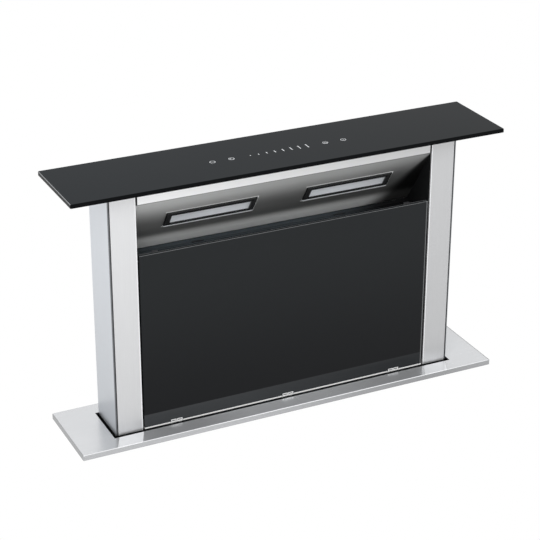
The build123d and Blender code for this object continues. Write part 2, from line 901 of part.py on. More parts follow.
# ------------------------------------------------------------------ lid
with BuildPart() as lid_glass:
    with BuildSketch(plan(lid_raised)):
        RectangleRounded(trim_width, trim_depth, lid_corner)
    extrude(amount=lid_thickness)
    chamfer(lid_glass.edges().group_by(Axis.Z)[-1], lid_edge_break)
lid_glass.part.label = "lid_glass"
export_step(lid_glass.part, "parts/lid_glass.step")

with BuildPart() as lid_carrier:
    with BuildSketch(plan(lid_seat)):
        rect(
            -riser_half + carrier_inset,
            riser_front + carrier_inset,
            riser_half - carrier_inset,
            riser_rear - carrier_inset,
        )
        with Locations((0, touch_y)):
            Rectangle(
                touch_width + 2 * touch_clearance,
                touch_depth + 2 * touch_clearance,
                mode=Mode.SUBTRACT,
            )
    extrude(amount=carrier_thickness)
lid_carrier.part.label = "lid_carrier"
export_step(lid_carrier.part, "parts/lid_carrier.step")

with BuildPart() as touch_module:
    with BuildSketch(plan(lid_raised)):
        with Locations((0, touch_y)):
            Rectangle(touch_width, touch_depth)
    extrude(amount=-touch_height)
    # plug of its ribbon cable
    with BuildSketch(plan(lid_raised - touch_height)):
        with Locations((0, touch_y)):
            Rectangle(touch_plug, touch_depth / 2)
    extrude(amount=-touch_plug_height)
touch_module.part.label = "touch_module"
export_step(touch_module.part, "parts/touch_module.step")

# ------------------------------------------------------------------ rail under the lid
rail_bottom_edge = lid_seat - rail_height
with BuildPart() as front_rail:
    with BuildSketch(section(0)):
        folded(
            [(riser_front, rail_bottom_edge), (riser_front, lid_seat), (riser_front + rail_flange, lid_seat)],
            cover_sheet,
            Side.RIGHT,
        )
    extrude(amount=glass_half, both=True)
front_rail.part.label = "front_rail"
export_step(front_rail.part, "parts/front_rail.step")

# ------------------------------------------------------------------ sloping light panel and lamps
slope_run = light_panel_foot_y - cover_back
slope_drop = light_panel_top - light_panel_foot
slope_length = math.hypot(slope_run, slope_drop)
slope_down = (slope_run / slope_length, -slope_drop / slope_length)
lamp_plane = Plane(
    origin=(
        0,
        cover_back + lamp_down_slope * slope_down[0],
        light_panel_top + lamp_down_slope * slope_down[1],
    ),
    x_dir=(1, 0, 0),
    z_dir=(0, slope_down[1], -slope_down[0]),
)
lamp_axis = Axis(lamp_plane.origin, lamp_plane.z_dir)
lamp_hole_width = bezel_width - 3 * bezel_wall
lamp_hole_height = bezel_height - 2 * bezel_wall
lamp_window_width = bezel_width - 2 * bezel_end_frame
lamp_window_height = bezel_height - 2 * bezel_side_frame

with BuildPart() as light_panel:
    with BuildSketch(section(0)):
        folded(
            [
                (cover_back, light_panel_top + light_panel_flange),
                (cover_back, light_panel_top),
                (light_panel_foot_y, light_panel_foot),
                (panel_inner_y, light_panel_foot),
            ],
            light_sheet,
        )
    extrude(amount=column_inner, both=True)
    with BuildSketch(lamp_plane.offset(-2 * light_sheet)):
        with GridLocations(2 * lamp_centre_x, 0, 2, 1):
            Rectangle(lamp_hole_width + 2 * lamp_clearance, lamp_hole_height + 2 * lamp_clearance)
    extrude(amount=4 * light_sheet, mode=Mode.SUBTRACT)
    # the flange behind the rail stops short of the dark gaps at its ends
    with BuildSketch(front(cover_back + light_sheet)):
        for hand in (-1, 1):
            rect(
                hand * column_inner,
                light_panel_top,
                hand * (column_inner - light_panel_notch),
                light_panel_top + light_panel_flange,
            )
    extrude(amount=light_sheet, mode=Mode.SUBTRACT)
light_panel.part.label = "light_panel"
export_step(light_panel.part, "parts/light_panel.step")

for name, hand in SIDES:
    with BuildPart() as lamp_bezel:
        with BuildSketch(lamp_plane):
            with Locations((hand * lamp_centre_x, 0)):
                RectangleRounded(bezel_width, bezel_height, bezel_wall)
        extrude(amount=bezel_proud)
        chamfer(lamp_bezel.faces().sort_by(lamp_axis)[-1].edges(), bezel_edge_break)
        with BuildSketch(lamp_plane):
            with Locations((hand * lamp_centre_x, 0)):
                Rectangle(lamp_hole_width, lamp_hole_height)
        extrude(amount=-lamp_body_depth)
        with BuildSketch(lamp_plane):
            with Locations((hand * lamp_centre_x, 0)):
                Rectangle(lamp_window_width + 2 * lens_lap, lamp_window_height + 2 * lens_lap)
        extrude(amount=bezel_wall - lamp_body_depth, mode=Mode.SUBTRACT)
        with BuildSketch(lamp_plane):
            with Locations((hand * lamp_centre_x, 0)):
                Rectangle(lamp_window_width, lamp_window_height)
        extrude(amount=bezel_proud, mode=Mode.SUBTRACT)
    lamp_bezel.part.label = f"lamp_bezel_{name}"
    export_step(lamp_bezel.part, f"parts/lamp_bezel_{name}.step")

    with BuildPart() as lamp_lens:
        with BuildSketch(lamp_plane):
            with Locations((hand * lamp_centre_x, 0)):
                Rectangle(lamp_window_width + 2 * lens_lap, lamp_window_height + 2 * lens_lap)
        extrude(amount=-lens_thickness)
    lamp_lens.part.label = f"lamp_lens_{name}"
    export_step(lamp_lens.part, f"parts/lamp_lens_{name}.step")

# ------------------------------------------------------------------ columns
for name, hand in SIDES:
    outer = hand * riser_half
    inner = hand * column_inner
    web = inner + hand * cover_sheet
    flange_end = hand * panel_inner_x

    with BuildPart() as side_panel:
        with BuildSketch(plan(frame_bottom)):
            rect(flange_end, riser_front, outer, riser_rear)
        extrude(amount=lid_seat - frame_bottom)
        fillet(side_panel.edges().filter_by(Axis.Z).sort_by(Axis((0, 0, 0), (hand, 0, 0)))[-2:], fold_radius)
        with BuildSketch(section(flange_end)):
            with Locations((shaft_y, shaft_z)):
                eight_sided(shaft_radius + shaft_hole_gap)
        extrude(amount=hand * cover_sheet, mode=Mode.SUBTRACT)
    side_panel.part.label = f"side_panel_{name}"
    export_step(side_panel.part, f"parts/side_panel_{name}.step")

    with BuildPart() as front_cover:
        with BuildSketch(plan(-cover_drop)):
            folded(
                [
                    (flange_end - hand * shadow_gap, riser_front),
                    (inner, riser_front),
                    (inner, riser_front + cover_return),
                ],
                cover_sheet,
                outer_side(hand),
            )
        extrude(amount=lid_seat + cover_drop)
    front_cover.part.label = f"front_cover_{name}"
    export_step(front_cover.part, f"parts/front_cover_{name}.step")

    with BuildPart() as column_frame:
        with BuildSketch(plan(frame_bottom)):
            folded(
                [(flange_end, cover_back), (web, cover_back), (web, panel_inner_y), (flange_end, panel_inner_y)],
                frame_sheet,
                outer_side(hand),
            )
        extrude(amount=lid_seat - frame_bottom)
        # window in the web that the shaft passes through
        with BuildSketch(section(web)):
            with Locations((shaft_y - shaft_window / 4, shaft_z)):
                Rectangle(shaft_window, shaft_window)
        extrude(amount=hand * frame_sheet, mode=Mode.SUBTRACT)
    column_frame.part.label = f"column_frame_{name}"
    export_step(column_frame.part, f"parts/column_frame_{name}.step")

    with BuildPart() as end_cheek:
        with BuildSketch(section(inner)):
            rect(riser_front + cover_return, apron_top, panel_inner_y, lid_seat)
        extrude(amount=hand * cover_sheet)
    end_cheek.part.label = f"end_cheek_{name}"
    export_step(end_cheek.part, f"parts/end_cheek_{name}.step")

# ------------------------------------------------------------------ rear panel, apron and base
with BuildPart() as rear_panel:
    with BuildSketch(front(riser_rear)):
        rect(-panel_inner_x, frame_bottom, panel_inner_x, lid_seat)
    extrude(amount=cover_sheet)
rear_panel.part.label = "rear_panel"
export_step(rear_panel.part, "parts/rear_panel.step")


def hook(stem):
    """Eight-sided head round a hinge pin, on a stem set back from the lip that swings past it."""
    eighth = math.radians(22.5)
    reach = hinge_barrel_radius * math.cos(eighth)
    ease = reach * (1 - math.tan(eighth))
    Polygon(
        (hinge_y - hinge_neck, hinge_z - stem),
        (hinge_y + reach, hinge_z - stem),
        (hinge_y + reach, hinge_z + reach - ease),
        (hinge_y + reach - ease, hinge_z + reach),
        (hinge_y - reach + ease, hinge_z + reach),
        (hinge_y - reach, hinge_z + reach - ease),
        (hinge_y - reach, hinge_z - reach + ease),
        (hinge_y - reach + ease, hinge_z - reach),
        (hinge_y - hinge_neck, hinge_z - reach),
        align=None,
    )


with BuildPart() as lower_apron:
    with BuildSketch(section(0)):
        folded(
            [(riser_front, frame_bottom), (riser_front, apron_top), (riser_front + apron_depth, apron_top)],
            cover_sheet,
            Side.RIGHT,
        )
    extrude(amount=column_inner, both=True)
    with BuildSketch(front(riser_front + apron_depth)):
        for hand in (-1, 1):
            rect(hand * column_inner, frame_bottom, hand * (column_inner - cover_sheet), apron_top)
    extrude(amount=apron_depth)
    # lugs that stand on the fold and hold the hinge pins
    lug_half = clip_width / 2 - clip_loop_width - lug_gap
    for place in hinge_places:
        with BuildSketch(section(place - lug_half)):
            hook(hinge_z - apron_top + cover_sheet)
            with Locations((hinge_y, hinge_z)):
                eight_sided(hinge_pin_radius + hinge_clearance, Mode.SUBTRACT)
        extrude(amount=2 * lug_half)
lower_apron.part.label = "lower_apron"
export_step(lower_apron.part, "parts/lower_apron.step")

with BuildPart() as hinge_pins:
    for place in hinge_places:
        with BuildSketch(section(place - clip_width / 2)):
            with Locations((hinge_y, hinge_z)):
                RegularPolygon(hinge_pin_radius, 12)
        extrude(amount=clip_width)
hinge_pins.part.label = "hinge_pins"
export_step(hinge_pins.part, "parts/hinge_pins.step")

with BuildPart() as chassis_base:
    with BuildSketch(plan(riser_bottom)):
        rect(-riser_half, riser_front, riser_half, riser_rear)
    extrude(amount=base_sheet)
    opening_x = column_inner - base_rim_width
    opening_front = riser_front + base_rim_width
    opening_rear = riser_rear - base_rim_width
    with BuildSketch(plan(riser_bottom)):
        rect(
            -opening_x - base_sheet,
            opening_front - base_sheet,
            opening_x + base_sheet,
            opening_rear + base_sheet,
        )
    extrude(amount=base_lip)
    with BuildSketch(plan(riser_bottom)):
        rect(-opening_x, opening_front, opening_x, opening_rear)
    extrude(amount=base_lip, mode=Mode.SUBTRACT)
chassis_base.part.label = "chassis_base"
export_step(chassis_base.part, "parts/chassis_base.step")

# ------------------------------------------------------------------ front glass on its clips
with BuildPart() as front_glass:
    with BuildSketch(front(glass_back)):
        rect(-glass_half, glass_bottom, glass_half, glass_top)
    extrude(amount=glass_thickness)
    ground = front_glass.edges().group_by(Axis.Z)[-1] + front_glass.edges().filter_by(Axis.Z)
    chamfer(ground, glass_edge_break)
front_glass.part.label = "front_glass"
export_step(front_glass.part, "parts/front_glass.step")

with BuildPart() as glass_channel:
    lip_back = riser_front + channel_sheet
    web_bottom = glass_bottom - channel_sheet
    with BuildSketch(section(0)):
        rect(riser_front, web_bottom, glass_back + channel_sheet, glass_bottom)
        rect(riser_front, glass_bottom - channel_front_drop, lip_back, glass_bottom)
        rect(glass_back, web_bottom, glass_back + channel_sheet, glass_bottom + channel_back_rise)
    extrude(amount=glass_half, both=True)
    # cut away round each hinge, where only the lip in front of it runs on
    with BuildSketch(front(glass_back + channel_sheet)):
        for place in hinge_places:
            rect(
                place - clip_width / 2 - clip_cut_gap,
                web_bottom - clip_lip_gap,
                place + clip_width / 2 + clip_cut_gap,
                glass_bottom + channel_back_rise,
            )
    extrude(amount=glass_thickness + channel_sheet, mode=Mode.SUBTRACT)
glass_channel.part.label = "glass_channel"
export_step(glass_channel.part, "parts/glass_channel.step")

with BuildPart() as glass_clips:
    for place in hinge_places:
        for start in (place - clip_width / 2, place + clip_width / 2 - clip_loop_width):
            # a bent strap: from the glass's front back over the lip, round the pin and up the glass's back
            with BuildSketch(section(start)):
                with BuildLine():
                    Polyline(
                        (riser_front - clip_sheet, glass_bottom),
                        (riser_front - clip_sheet, web_bottom),
                        (hinge_y - hinge_barrel_radius, web_bottom),
                        (hinge_y - hinge_barrel_radius, hinge_z - clip_sheet),
                        (hinge_y - clip_sheet, hinge_z - hinge_barrel_radius),
                        (hinge_y + clip_sheet, hinge_z - hinge_barrel_radius),
                        (hinge_y + hinge_barrel_radius, hinge_z - clip_sheet),
                        (glass_back + clip_sheet, hinge_z + clip_back_rise),
                        (glass_back, hinge_z + clip_back_rise),
                        (glass_back, glass_bottom),
                        close=True,
                    )
                make_face()
                with Locations((hinge_y, hinge_z)):
                    eight_sided(hinge_pin_radius + hinge_clearance, Mode.SUBTRACT)
            extrude(amount=clip_loop_width)
        # two flat eyes on the glass's front, all that shows of a clip when the glass is shut
        with BuildSketch(front(riser_front)):
            for outer in (-1, 1):
                edge = place + outer * clip_width / 2
                inner = edge - outer * clip_eye_width
                rect(edge, web_bottom, inner, hinge_z + clip_front_rise)
                rect(
                    edge - outer * clip_eye_frame,
                    glass_bottom + clip_eye_frame / 2,
                    inner + outer * clip_eye_frame,
                    hinge_z + clip_front_rise - clip_eye_frame,
                    Mode.SUBTRACT,
                )
        extrude(amount=clip_sheet)
        with BuildSketch(section(place - clip_width / 2)):
            rect(
                glass_back,
                hinge_z + hinge_barrel_radius + clip_sheet,
                glass_back + clip_sheet,
                hinge_z + clip_back_rise,
            )
        extrude(amount=clip_width)
glass_clips.part.label = "glass_clips"
export_step(glass_clips.part, "parts/glass_clips.step")

catch_x = column_inner - catch_reach
catch_z = glass_top - catch_drop - catch_size / 2
with BuildPart() as strike_plates:
    with BuildSketch(front(glass_back + strike_thickness)):
        with Locations((-catch_x, catch_z), (catch_x, catch_z)):
            Rectangle(catch_size, catch_size)
    extrude(amount=strike_thickness)
strike_plates.part.label = "strike_plates"
export_step(strike_plates.part, "parts/strike_plates.step")

# magnets held out from the cheeks on flat arms
with BuildPart() as glass_catches:
    catch_face = glass_back + strike_thickness + catch_gap
    with BuildSketch(front(catch_face + catch_size)):
        with Locations((-catch_x, catch_z), (catch_x, catch_z)):
            Rectangle(catch_size, catch_size)
    extrude(amount=catch_size)
    with BuildSketch(front(catch_face + catch_size)):
        for hand in (-1, 1):
            rect(
                hand * catch_x,
                catch_z - catch_size / 2,
                hand * column_inner,
                catch_z + catch_size / 4,
            )
    extrude(amount=catch_arm)
glass_catches.part.label = "glass_catches"
export_step(glass_catches.part, "parts/glass_catches.step")

# ------------------------------------------------------------------ filter frame
lean = math.radians(filter_tilt)
filter_up = (math.sin(lean), math.cos(lean))
filter_plane = Plane(
    origin=(0, filter_foot_y, filter_foot_z),
    x_dir=(1, 0, 0),
    z_dir=(0, -filter_up[1], filter_up[0]),
)
filter_foot = filter_stand
filter_head = filter_stand + filter_length
filter_width = column_inner - filter_side_gap - filter_centre_gap / 2
filter_centre_x = (filter_centre_gap + filter_width) / 2
shelf_reach = filter_thickness + filter_stand
keeper_up = filter_head + keeper_gap


def on_seat(up, out):
    """A point of the cross-section, up the filters' seat and out from it towards the front glass."""
    return (
        filter_foot_y + up * filter_up[0] - out * filter_up[1],
        filter_foot_z + up * filter_up[1] + out * filter_up[0],
    )


seat_top = (light_panel_foot - filter_foot_z - filter_sheet) / filter_up[1]
window_half_x = filter_width / 2 - filter_window_lap
window_low = filter_foot + filter_window_lap
window_high = filter_head - filter_window_lap

with BuildPart() as filter_frame:
    with BuildSketch(section(0)):
        folded(
            [
                on_seat(seat_top, 0),
                on_seat(filter_foot, 0),
                on_seat(filter_foot, shelf_reach + filter_sheet),
                (on_seat(filter_foot, shelf_reach + filter_sheet)[0], apron_top),
            ],
            filter_sheet,
        )
    extrude(amount=column_inner, both=True)
    # lip that keeps the filters' feet on the shelf, and the keeper over their heads
    with BuildSketch(section(0)):
        with BuildLine():
            Polyline(
                on_seat(filter_foot, shelf_reach),
                on_seat(filter_foot, shelf_reach + filter_sheet),
                on_seat(filter_foot + filter_rim / 2, shelf_reach + filter_sheet),
                on_seat(filter_foot + filter_rim / 2, shelf_reach),
                close=True,
            )
        make_face()
        with BuildLine():
            Polyline(
                on_seat(keeper_up, 0),
                on_seat(keeper_up, keeper_reach),
                on_seat(keeper_up + filter_sheet, keeper_reach),
                on_seat(keeper_up + filter_sheet, 0),
                close=True,
            )
        make_face()
    extrude(amount=column_inner, both=True)
    with BuildSketch(filter_plane.offset(-2 * filter_sheet)):
        for hand in (-1, 1):
            rect(
                hand * filter_centre_x - window_half_x,
                window_low,
                hand * filter_centre_x + window_half_x,
                window_high,
            )
    extrude(amount=2 * filter_sheet, mode=Mode.SUBTRACT)
    # slots in the keeper for the latches
    latch_low = (keeper_reach - latch_thickness) / 2
    keeper_plane = Plane(
        origin=(0, *on_seat(keeper_up - filter_sheet, 0)),
        x_dir=(1, 0, 0),
        z_dir=(0, *filter_up),
    )
    with BuildSketch(keeper_plane):
        for hand in (-1, 1):
            rect(
                hand * filter_centre_x - latch_width / 2 - latch_clearance,
                -latch_low - latch_thickness - latch_clearance,
                hand * filter_centre_x + latch_width / 2 + latch_clearance,
                -latch_low + latch_clearance,
            )
    extrude(amount=3 * filter_sheet, mode=Mode.SUBTRACT)
filter_frame.part.label = "filter_frame"
export_step(filter_frame.part, "parts/filter_frame.step")

# ------------------------------------------------------------------ grease filters and latches
baffle_plane = Plane(
    origin=(0, *on_seat(filter_foot, 0)),
    x_dir=(1, 0, 0),
    z_dir=(0, *filter_up),
)
baffle_pitch = (filter_width - 2 * filter_rim) / baffle_count


def baffle(middle, near, far):
    """A channel-shaped slat seen end on: its web lies near one face and its flanges point to the other."""
    turn = 1 if far > near else -1
    rect(middle - baffle_width / 2, near, middle + baffle_width / 2, near + turn * baffle_sheet)
    for edge in (-1, 1):
        rect(
            middle + edge * baffle_width / 2,
            near,
            middle + edge * (baffle_width / 2 - baffle_sheet),
            near + turn * baffle_flange,
        )


for name, hand in SIDES:
    middle = hand * filter_centre_x
    with BuildPart() as grease_filter:
        with BuildSketch(filter_plane):
            rect(middle - filter_width / 2, filter_foot, middle + filter_width / 2, filter_head)
            rect(
                middle - filter_width / 2 + filter_rim,
                filter_foot + filter_rim,
                middle + filter_width / 2 - filter_rim,
                filter_head - filter_rim,
                Mode.SUBTRACT,
            )
        extrude(amount=filter_thickness)
        # two rows of slats, each row over the gaps of the other
        with BuildSketch(baffle_plane.offset(filter_rim)):
            for slat in range(baffle_count):
                baffle(
                    middle + (slat - (baffle_count - 1) / 2) * baffle_pitch,
                    -filter_thickness + baffle_sheet,
                    0,
                )
            for slat in range(baffle_count - 1):
                baffle(
                    middle + (slat - (baffle_count - 2) / 2) * baffle_pitch,
                    -baffle_sheet,
                    -filter_thickness,
                )
        extrude(amount=filter_length - 2 * filter_rim)
        # pocket in the upper rim that the latch slides in
        with BuildSketch(filter_plane.offset(latch_low - latch_clearance)):
            rect(
                middle - latch_width / 2 - latch_clearance,
                filter_head - filter_rim + 1,
                middle + latch_width / 2 + latch_clearance,
                filter_head,
            )
        extrude(amount=filter_thickness, mode=Mode.SUBTRACT)
    grease_filter.part.label = f"grease_filter_{name}"
    export_step(grease_filter.part, f"parts/grease_filter_{name}.step")

    latch_foot = filter_head - filter_rim + 1 + latch_travel + latch_clearance
    latch_head = keeper_up + filter_sheet + latch_bite / 2
    with BuildPart() as filter_latch:
        with BuildSketch(filter_plane.offset(latch_low)):
            rect(middle - latch_width / 2, latch_foot, middle + latch_width / 2, latch_head)
        extrude(amount=latch_thickness)
        # thumb pad in front of the rim
        with BuildSketch(filter_plane.offset(latch_low)):
            rect(middle - latch_width / 2, latch_foot, middle + latch_width / 2, filter_head - 0.5)
        extrude(amount=filter_thickness - latch_low + latch_clearance)
        with BuildSketch(filter_plane.offset(filter_thickness + latch_clearance)):
            rect(
                middle - latch_pad_width / 2,
                filter_head - 0.5 - latch_pad_height,
                middle + latch_pad_width / 2,
                filter_head - 0.5,
            )
        extrude(amount=latch_pad_thickness)
    filter_latch.part.label = f"filter_latch_{name}"
    export_step(filter_latch.part, f"parts/filter_latch_{name}.step")

# ------------------------------------------------------------------ shoes, bearings and lift gearmotor
shoe_outer_x = housing_x - guide_rail_sheet - shoe_gap
shoe_half_y = guide_rail_width / 2 - guide_rail_sheet - shoe_gap
with BuildPart() as guide_shoes:
    for hand in (-1, 1):
        for low in (frame_bottom + shoe_inset, frame_bottom + shoe_inset + shoe_pitch - shoe_height):
            with BuildSketch(plan(low)):
                rect(hand * riser_half, guide_rail_y - shoe_half_y, hand * shoe_outer_x, guide_rail_y + shoe_half_y)
            extrude(amount=shoe_height)
guide_shoes.part.label = "guide_shoes"
export_step(guide_shoes.part, "parts/guide_shoes.step")

bearing_rear = panel_inner_y - frame_sheet
bearing_reach = shaft_radius + shaft_hole_gap
with BuildPart() as shaft_bearings:
    for hand in (-1, 1):
        with BuildSketch(section(hand * panel_inner_x)):
            Polygon(
                (bearing_rear, shaft_z - bearing_height / 2),
                (bearing_rear, shaft_z + bearing_height / 2),
                (shaft_y, shaft_z + bearing_reach),
                (shaft_y - bearing_reach, shaft_z + bearing_reach / 2),
                (shaft_y - bearing_reach, shaft_z - bearing_reach / 2),
                (shaft_y, shaft_z - bearing_reach),
                align=None,
            )
            with Locations((shaft_y, shaft_z)):
                eight_sided(shaft_radius + shaft_clearance, Mode.SUBTRACT)
        extrude(amount=-hand * bearing_width)
shaft_bearings.part.label = "shaft_bearings"
export_step(shaft_bearings.part, "parts/shaft_bearings.step")

gearbox_top = shaft_z + gearbox_height / 2
motor_y = panel_inner_y - gearbox_depth / 2
with BuildPart() as lift_gearmotor:
    with BuildSketch(section(gearbox_x - gearbox_width / 2)):
        rect(panel_inner_y - gearbox_depth, riser_bottom + base_lip, panel_inner_y, gearbox_top)
    extrude(amount=gearbox_width)
    with BuildSketch(plan(gearbox_top)):
        with Locations((gearbox_x, motor_y)):
            Circle(motor_radius)
    extrude(amount=motor_length)
    with BuildSketch(section(gearbox_x - gearbox_width / 2)):
        with Locations((shaft_y, shaft_z)):
            eight_sided(shaft_radius + shaft_clearance)
    extrude(amount=gearbox_width, mode=Mode.SUBTRACT)
lift_gearmotor.part.label = "lift_gearmotor"
export_step(lift_gearmotor.part, "parts/lift_gearmotor.step")
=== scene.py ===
import json
import math

import bpy
from mathutils import Matrix, Vector


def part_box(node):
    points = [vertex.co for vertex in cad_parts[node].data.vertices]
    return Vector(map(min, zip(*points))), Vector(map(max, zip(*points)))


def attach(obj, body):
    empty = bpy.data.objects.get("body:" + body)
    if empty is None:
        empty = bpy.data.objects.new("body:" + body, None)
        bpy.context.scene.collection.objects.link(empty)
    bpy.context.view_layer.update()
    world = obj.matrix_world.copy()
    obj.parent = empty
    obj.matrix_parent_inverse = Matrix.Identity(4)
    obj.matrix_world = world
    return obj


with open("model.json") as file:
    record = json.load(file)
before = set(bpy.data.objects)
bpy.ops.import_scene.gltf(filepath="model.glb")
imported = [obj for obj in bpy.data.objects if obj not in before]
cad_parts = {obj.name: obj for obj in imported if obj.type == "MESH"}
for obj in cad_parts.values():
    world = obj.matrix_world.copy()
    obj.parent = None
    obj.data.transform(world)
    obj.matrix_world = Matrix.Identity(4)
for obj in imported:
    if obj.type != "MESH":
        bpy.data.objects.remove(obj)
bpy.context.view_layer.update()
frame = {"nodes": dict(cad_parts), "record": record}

# A downdraft vent raised out of its slot: satin steel columns and trim, a black glass lid and front,
# two lamps in a sloping panel. Below the worktop are the folded shaft, the blower and the lift.
# Everything is in metres, in the part's own frame: +X right, -Y towards the cook, +Z up.
MM = 0.001
WHITE = (1.0, 1.0, 1.0, 1.0)
# how far to the left of the front the camera stands
AZIMUTH = math.radians(25.703)
# the lightest tone that a finish takes; at 1 its colour is as written
BRIGHTEST = 1.45
BRUSHED_METAL = 0.62

# how fine each grain is, in noise cells per metre
SCRATCHES = 2600.0
FROST = 2600.0
PITS = 1900.0
DUST = 1400.0
SATIN = 900.0
SAND = 520.0
PORES = 160.0
CRYSTALS = 95.0
# ground marks are drawn out along Z; other scratches are so many times as long as wide, and so many
# of them lie side by side in a patch
GRINDING = (900.0, 900.0, 60.0)
SCRATCH_LENGTH = 60.0
PATCH_SIZE = 14.0


# ---------------------------------------------------------------- shader writing
class Socket:
    """One output of a node. Arithmetic on it adds Math nodes."""

    def __init__(self, nodes, socket):
        self.nodes = nodes
        self.socket = socket

    def _math(self, operation, *values):
        return self.nodes.node("ShaderNodeMath", {"operation": operation}, dict(enumerate(values)))

    def __add__(self, other):
        return self._math("ADD", self, other)

    def __radd__(self, other):
        return self._math("ADD", other, self)

    def __sub__(self, other):
        return self._math("SUBTRACT", self, other)

    def __rsub__(self, other):
        return self._math("SUBTRACT", other, self)

    def __mul__(self, other):
        return self._math("MULTIPLY", self, other)

    def __rmul__(self, other):
        return self._math("MULTIPLY", other, self)

    def __truediv__(self, other):
        return self._math("DIVIDE", self, other)

    def __rtruediv__(self, other):
        return self._math("DIVIDE", other, self)

    def over(self, threshold):
        """1 above the threshold and 0 elsewhere."""
        return self._math("GREATER_THAN", self, threshold)

    def under(self, threshold):
        """1 up to the threshold and 0 above it."""
        return 1.0 - self.over(threshold)

    def between(self, low, high):
        """1 from low to high and 0 elsewhere."""
        return self.over(low) * self.under(high)

    def rising(self, low, high):
        """0 up to low, 1 from high on, and a smooth rise in between."""
        values = {"Value": self, "From Min": low, "From Max": high, "To Min": 0.0, "To Max": 1.0}
        return self.nodes.node("ShaderNodeMapRange", {"interpolation_type": "SMOOTHSTEP"}, values)

    def most(self, other):
        """The greater of two values."""
        return self._math("MAXIMUM", self, other)

    def clipped(self):
        """The value kept from 0 to 1."""
        return self._math("MINIMUM", self.most(0.0), 1.0)

    def size(self):
        """The value without its sign."""
        return self._math("ABSOLUTE", self)

    def swing(self, amount):
        """A noise value made to swing about zero, from half the amount below to half above."""
        return (self - 0.5) * amount


class Nodes:
    """The nodes of a material or of the studio's surroundings, each of them added by one method."""

    def __init__(self, owner):
        owner.use_nodes = True
        self.tree = owner.node_tree
        self.tree.nodes.clear()

    def node(self, kind, settings=None, values=None, output=0):
        """Adds a node: its settings first, then the values or links of its sockets."""
        node = self.tree.nodes.new(kind)
        for key, value in (settings or {}).items():
            setattr(node, key, value)
        for key, value in (values or {}).items():
            self.join(node.inputs[key], value)
        return Socket(self, node.outputs[output]) if node.outputs else None

    def join(self, target, value):
        """Links a socket to another, or sets it to a constant."""
        if isinstance(value, Socket):
            self.tree.links.new(value.socket, target)
        else:
            target.default_value = value

    def seen_white(self, lit, white, end):
        """White to the camera, in reflections and through clear materials, and lit for all other rays."""
        rays = ("Is Camera Ray", "Is Glossy Ray", "Is Transmission Ray")
        camera, glossy, clear = (self.node("ShaderNodeLightPath", output=ray) for ray in rays)
        seen = camera.most(glossy).most(clear)
        mixed = self.node("ShaderNodeMixShader", None, {"Fac": seen, 1: lit, 2: white})
        self.node(end, None, {"Surface": mixed})


class Finish(Nodes):
    """A material written node by node round one shader."""

    def __init__(self, name, colour, roughness, metallic=0.0, specular=0.5):
        self.material = bpy.data.materials.new(name)
        super().__init__(self.material)
        self.material.diffuse_color = (*colour, 1.0)
        constants = {
            "Base Color": (*colour, 1.0), "Roughness": roughness,
            "Metallic": metallic, "Specular IOR Level": specular,
        }
        surface = self.node("ShaderNodeBsdfPrincipled", None, constants)
        self.shader = surface.socket.node
        self.node("ShaderNodeOutputMaterial", None, {"Surface": surface})
        self.place = self.node("ShaderNodeTexCoord", output="Object")

    def drive(self, socket, value):
        """Feeds one socket of the shader."""
        self.join(self.shader.inputs[socket], value)

    def axis(self, letter):
        """One coordinate of the place, in metres."""
        return self.node("ShaderNodeSeparateXYZ", None, {"Vector": self.place}, output=letter)

    def towards(self, direction, start):
        """How far the place lies from a starting point, in metres, along a direction."""
        values = {0: self.place, 1: direction}
        reach = self.node("ShaderNodeVectorMath", {"operation": "DOT_PRODUCT"}, values, output="Value")
        return reach - Vector(direction).dot(Vector(start))

    def stretched(self, scale):
        """The place on the piece, drawn out along its grain."""
        return self.node("ShaderNodeVectorMath", {"operation": "MULTIPLY"}, {0: self.place, 1: scale})

    def noise(self, scale, detail=2.0, place=None):
        """An uneven value from 0 to 1, with so many cells to the metre."""
        values = {"Vector": place or self.place, "Scale": scale, "Detail": detail}
        return self.node("ShaderNodeTexNoise", None, values)

    def shades(self, factor, low, high):
        """A colour between two others, each of them written out or a socket."""
        low, high = (shade if isinstance(shade, Socket) else (*shade, 1.0) for shade in (low, high))
        return self.node("ShaderNodeMix", {"data_type": "RGBA"}, {0: factor, 6: low, 7: high}, output=2)

    def tinted(self, colour, shade):
        """A colour made darker or lighter: as written where the shade is 1."""
        brightest = tuple(channel * BRIGHTEST for channel in colour)
        return self.shades(shade / BRIGHTEST, (0.0, 0.0, 0.0), brightest)

    def bump(self, height, distance, strength):
        """Relief as deep as the distance, in metres."""
        values = {"Height": height, "Distance": distance, "Strength": strength}
        self.drive("Normal", self.node("ShaderNodeBump", None, values))


def scaled(colour, factor):
    """A written colour made darker or lighter."""
    return tuple(min(1.0, channel * factor) for channel in colour)


def steel(name, colour, roughness, along, contrast=0.03, metallic=BRUSHED_METAL, tone=None, metal=None):
    """Brushed steel: fine scratches along one axis that spread its reflections across them."""
    f = Finish(name, colour, roughness, metallic)
    scale = tuple(SCRATCHES if axis != along else SCRATCHES / SCRATCH_LENGTH for axis in "xyz")
    scratches = f.noise(1.0, 3.0, f.stretched(scale))
    patches = f.noise(1.0, 2.0, f.stretched(tuple(value / PATCH_SIZE for value in scale)))
    smear = f.noise(11.0, 4.0)
    shade = 1.0 + scratches.swing(3 * contrast) + patches.swing(contrast)
    if tone:
        shade = shade * tone(f)
    if metal:
        f.drive("Metallic", metal(f))
    f.drive("Base Color", f.tinted(colour, shade))
    f.drive("Roughness", roughness + scratches.swing(0.12) + smear.swing(0.05))
    f.bump(scratches, 0.04 * MM, 0.5)
    return f.material


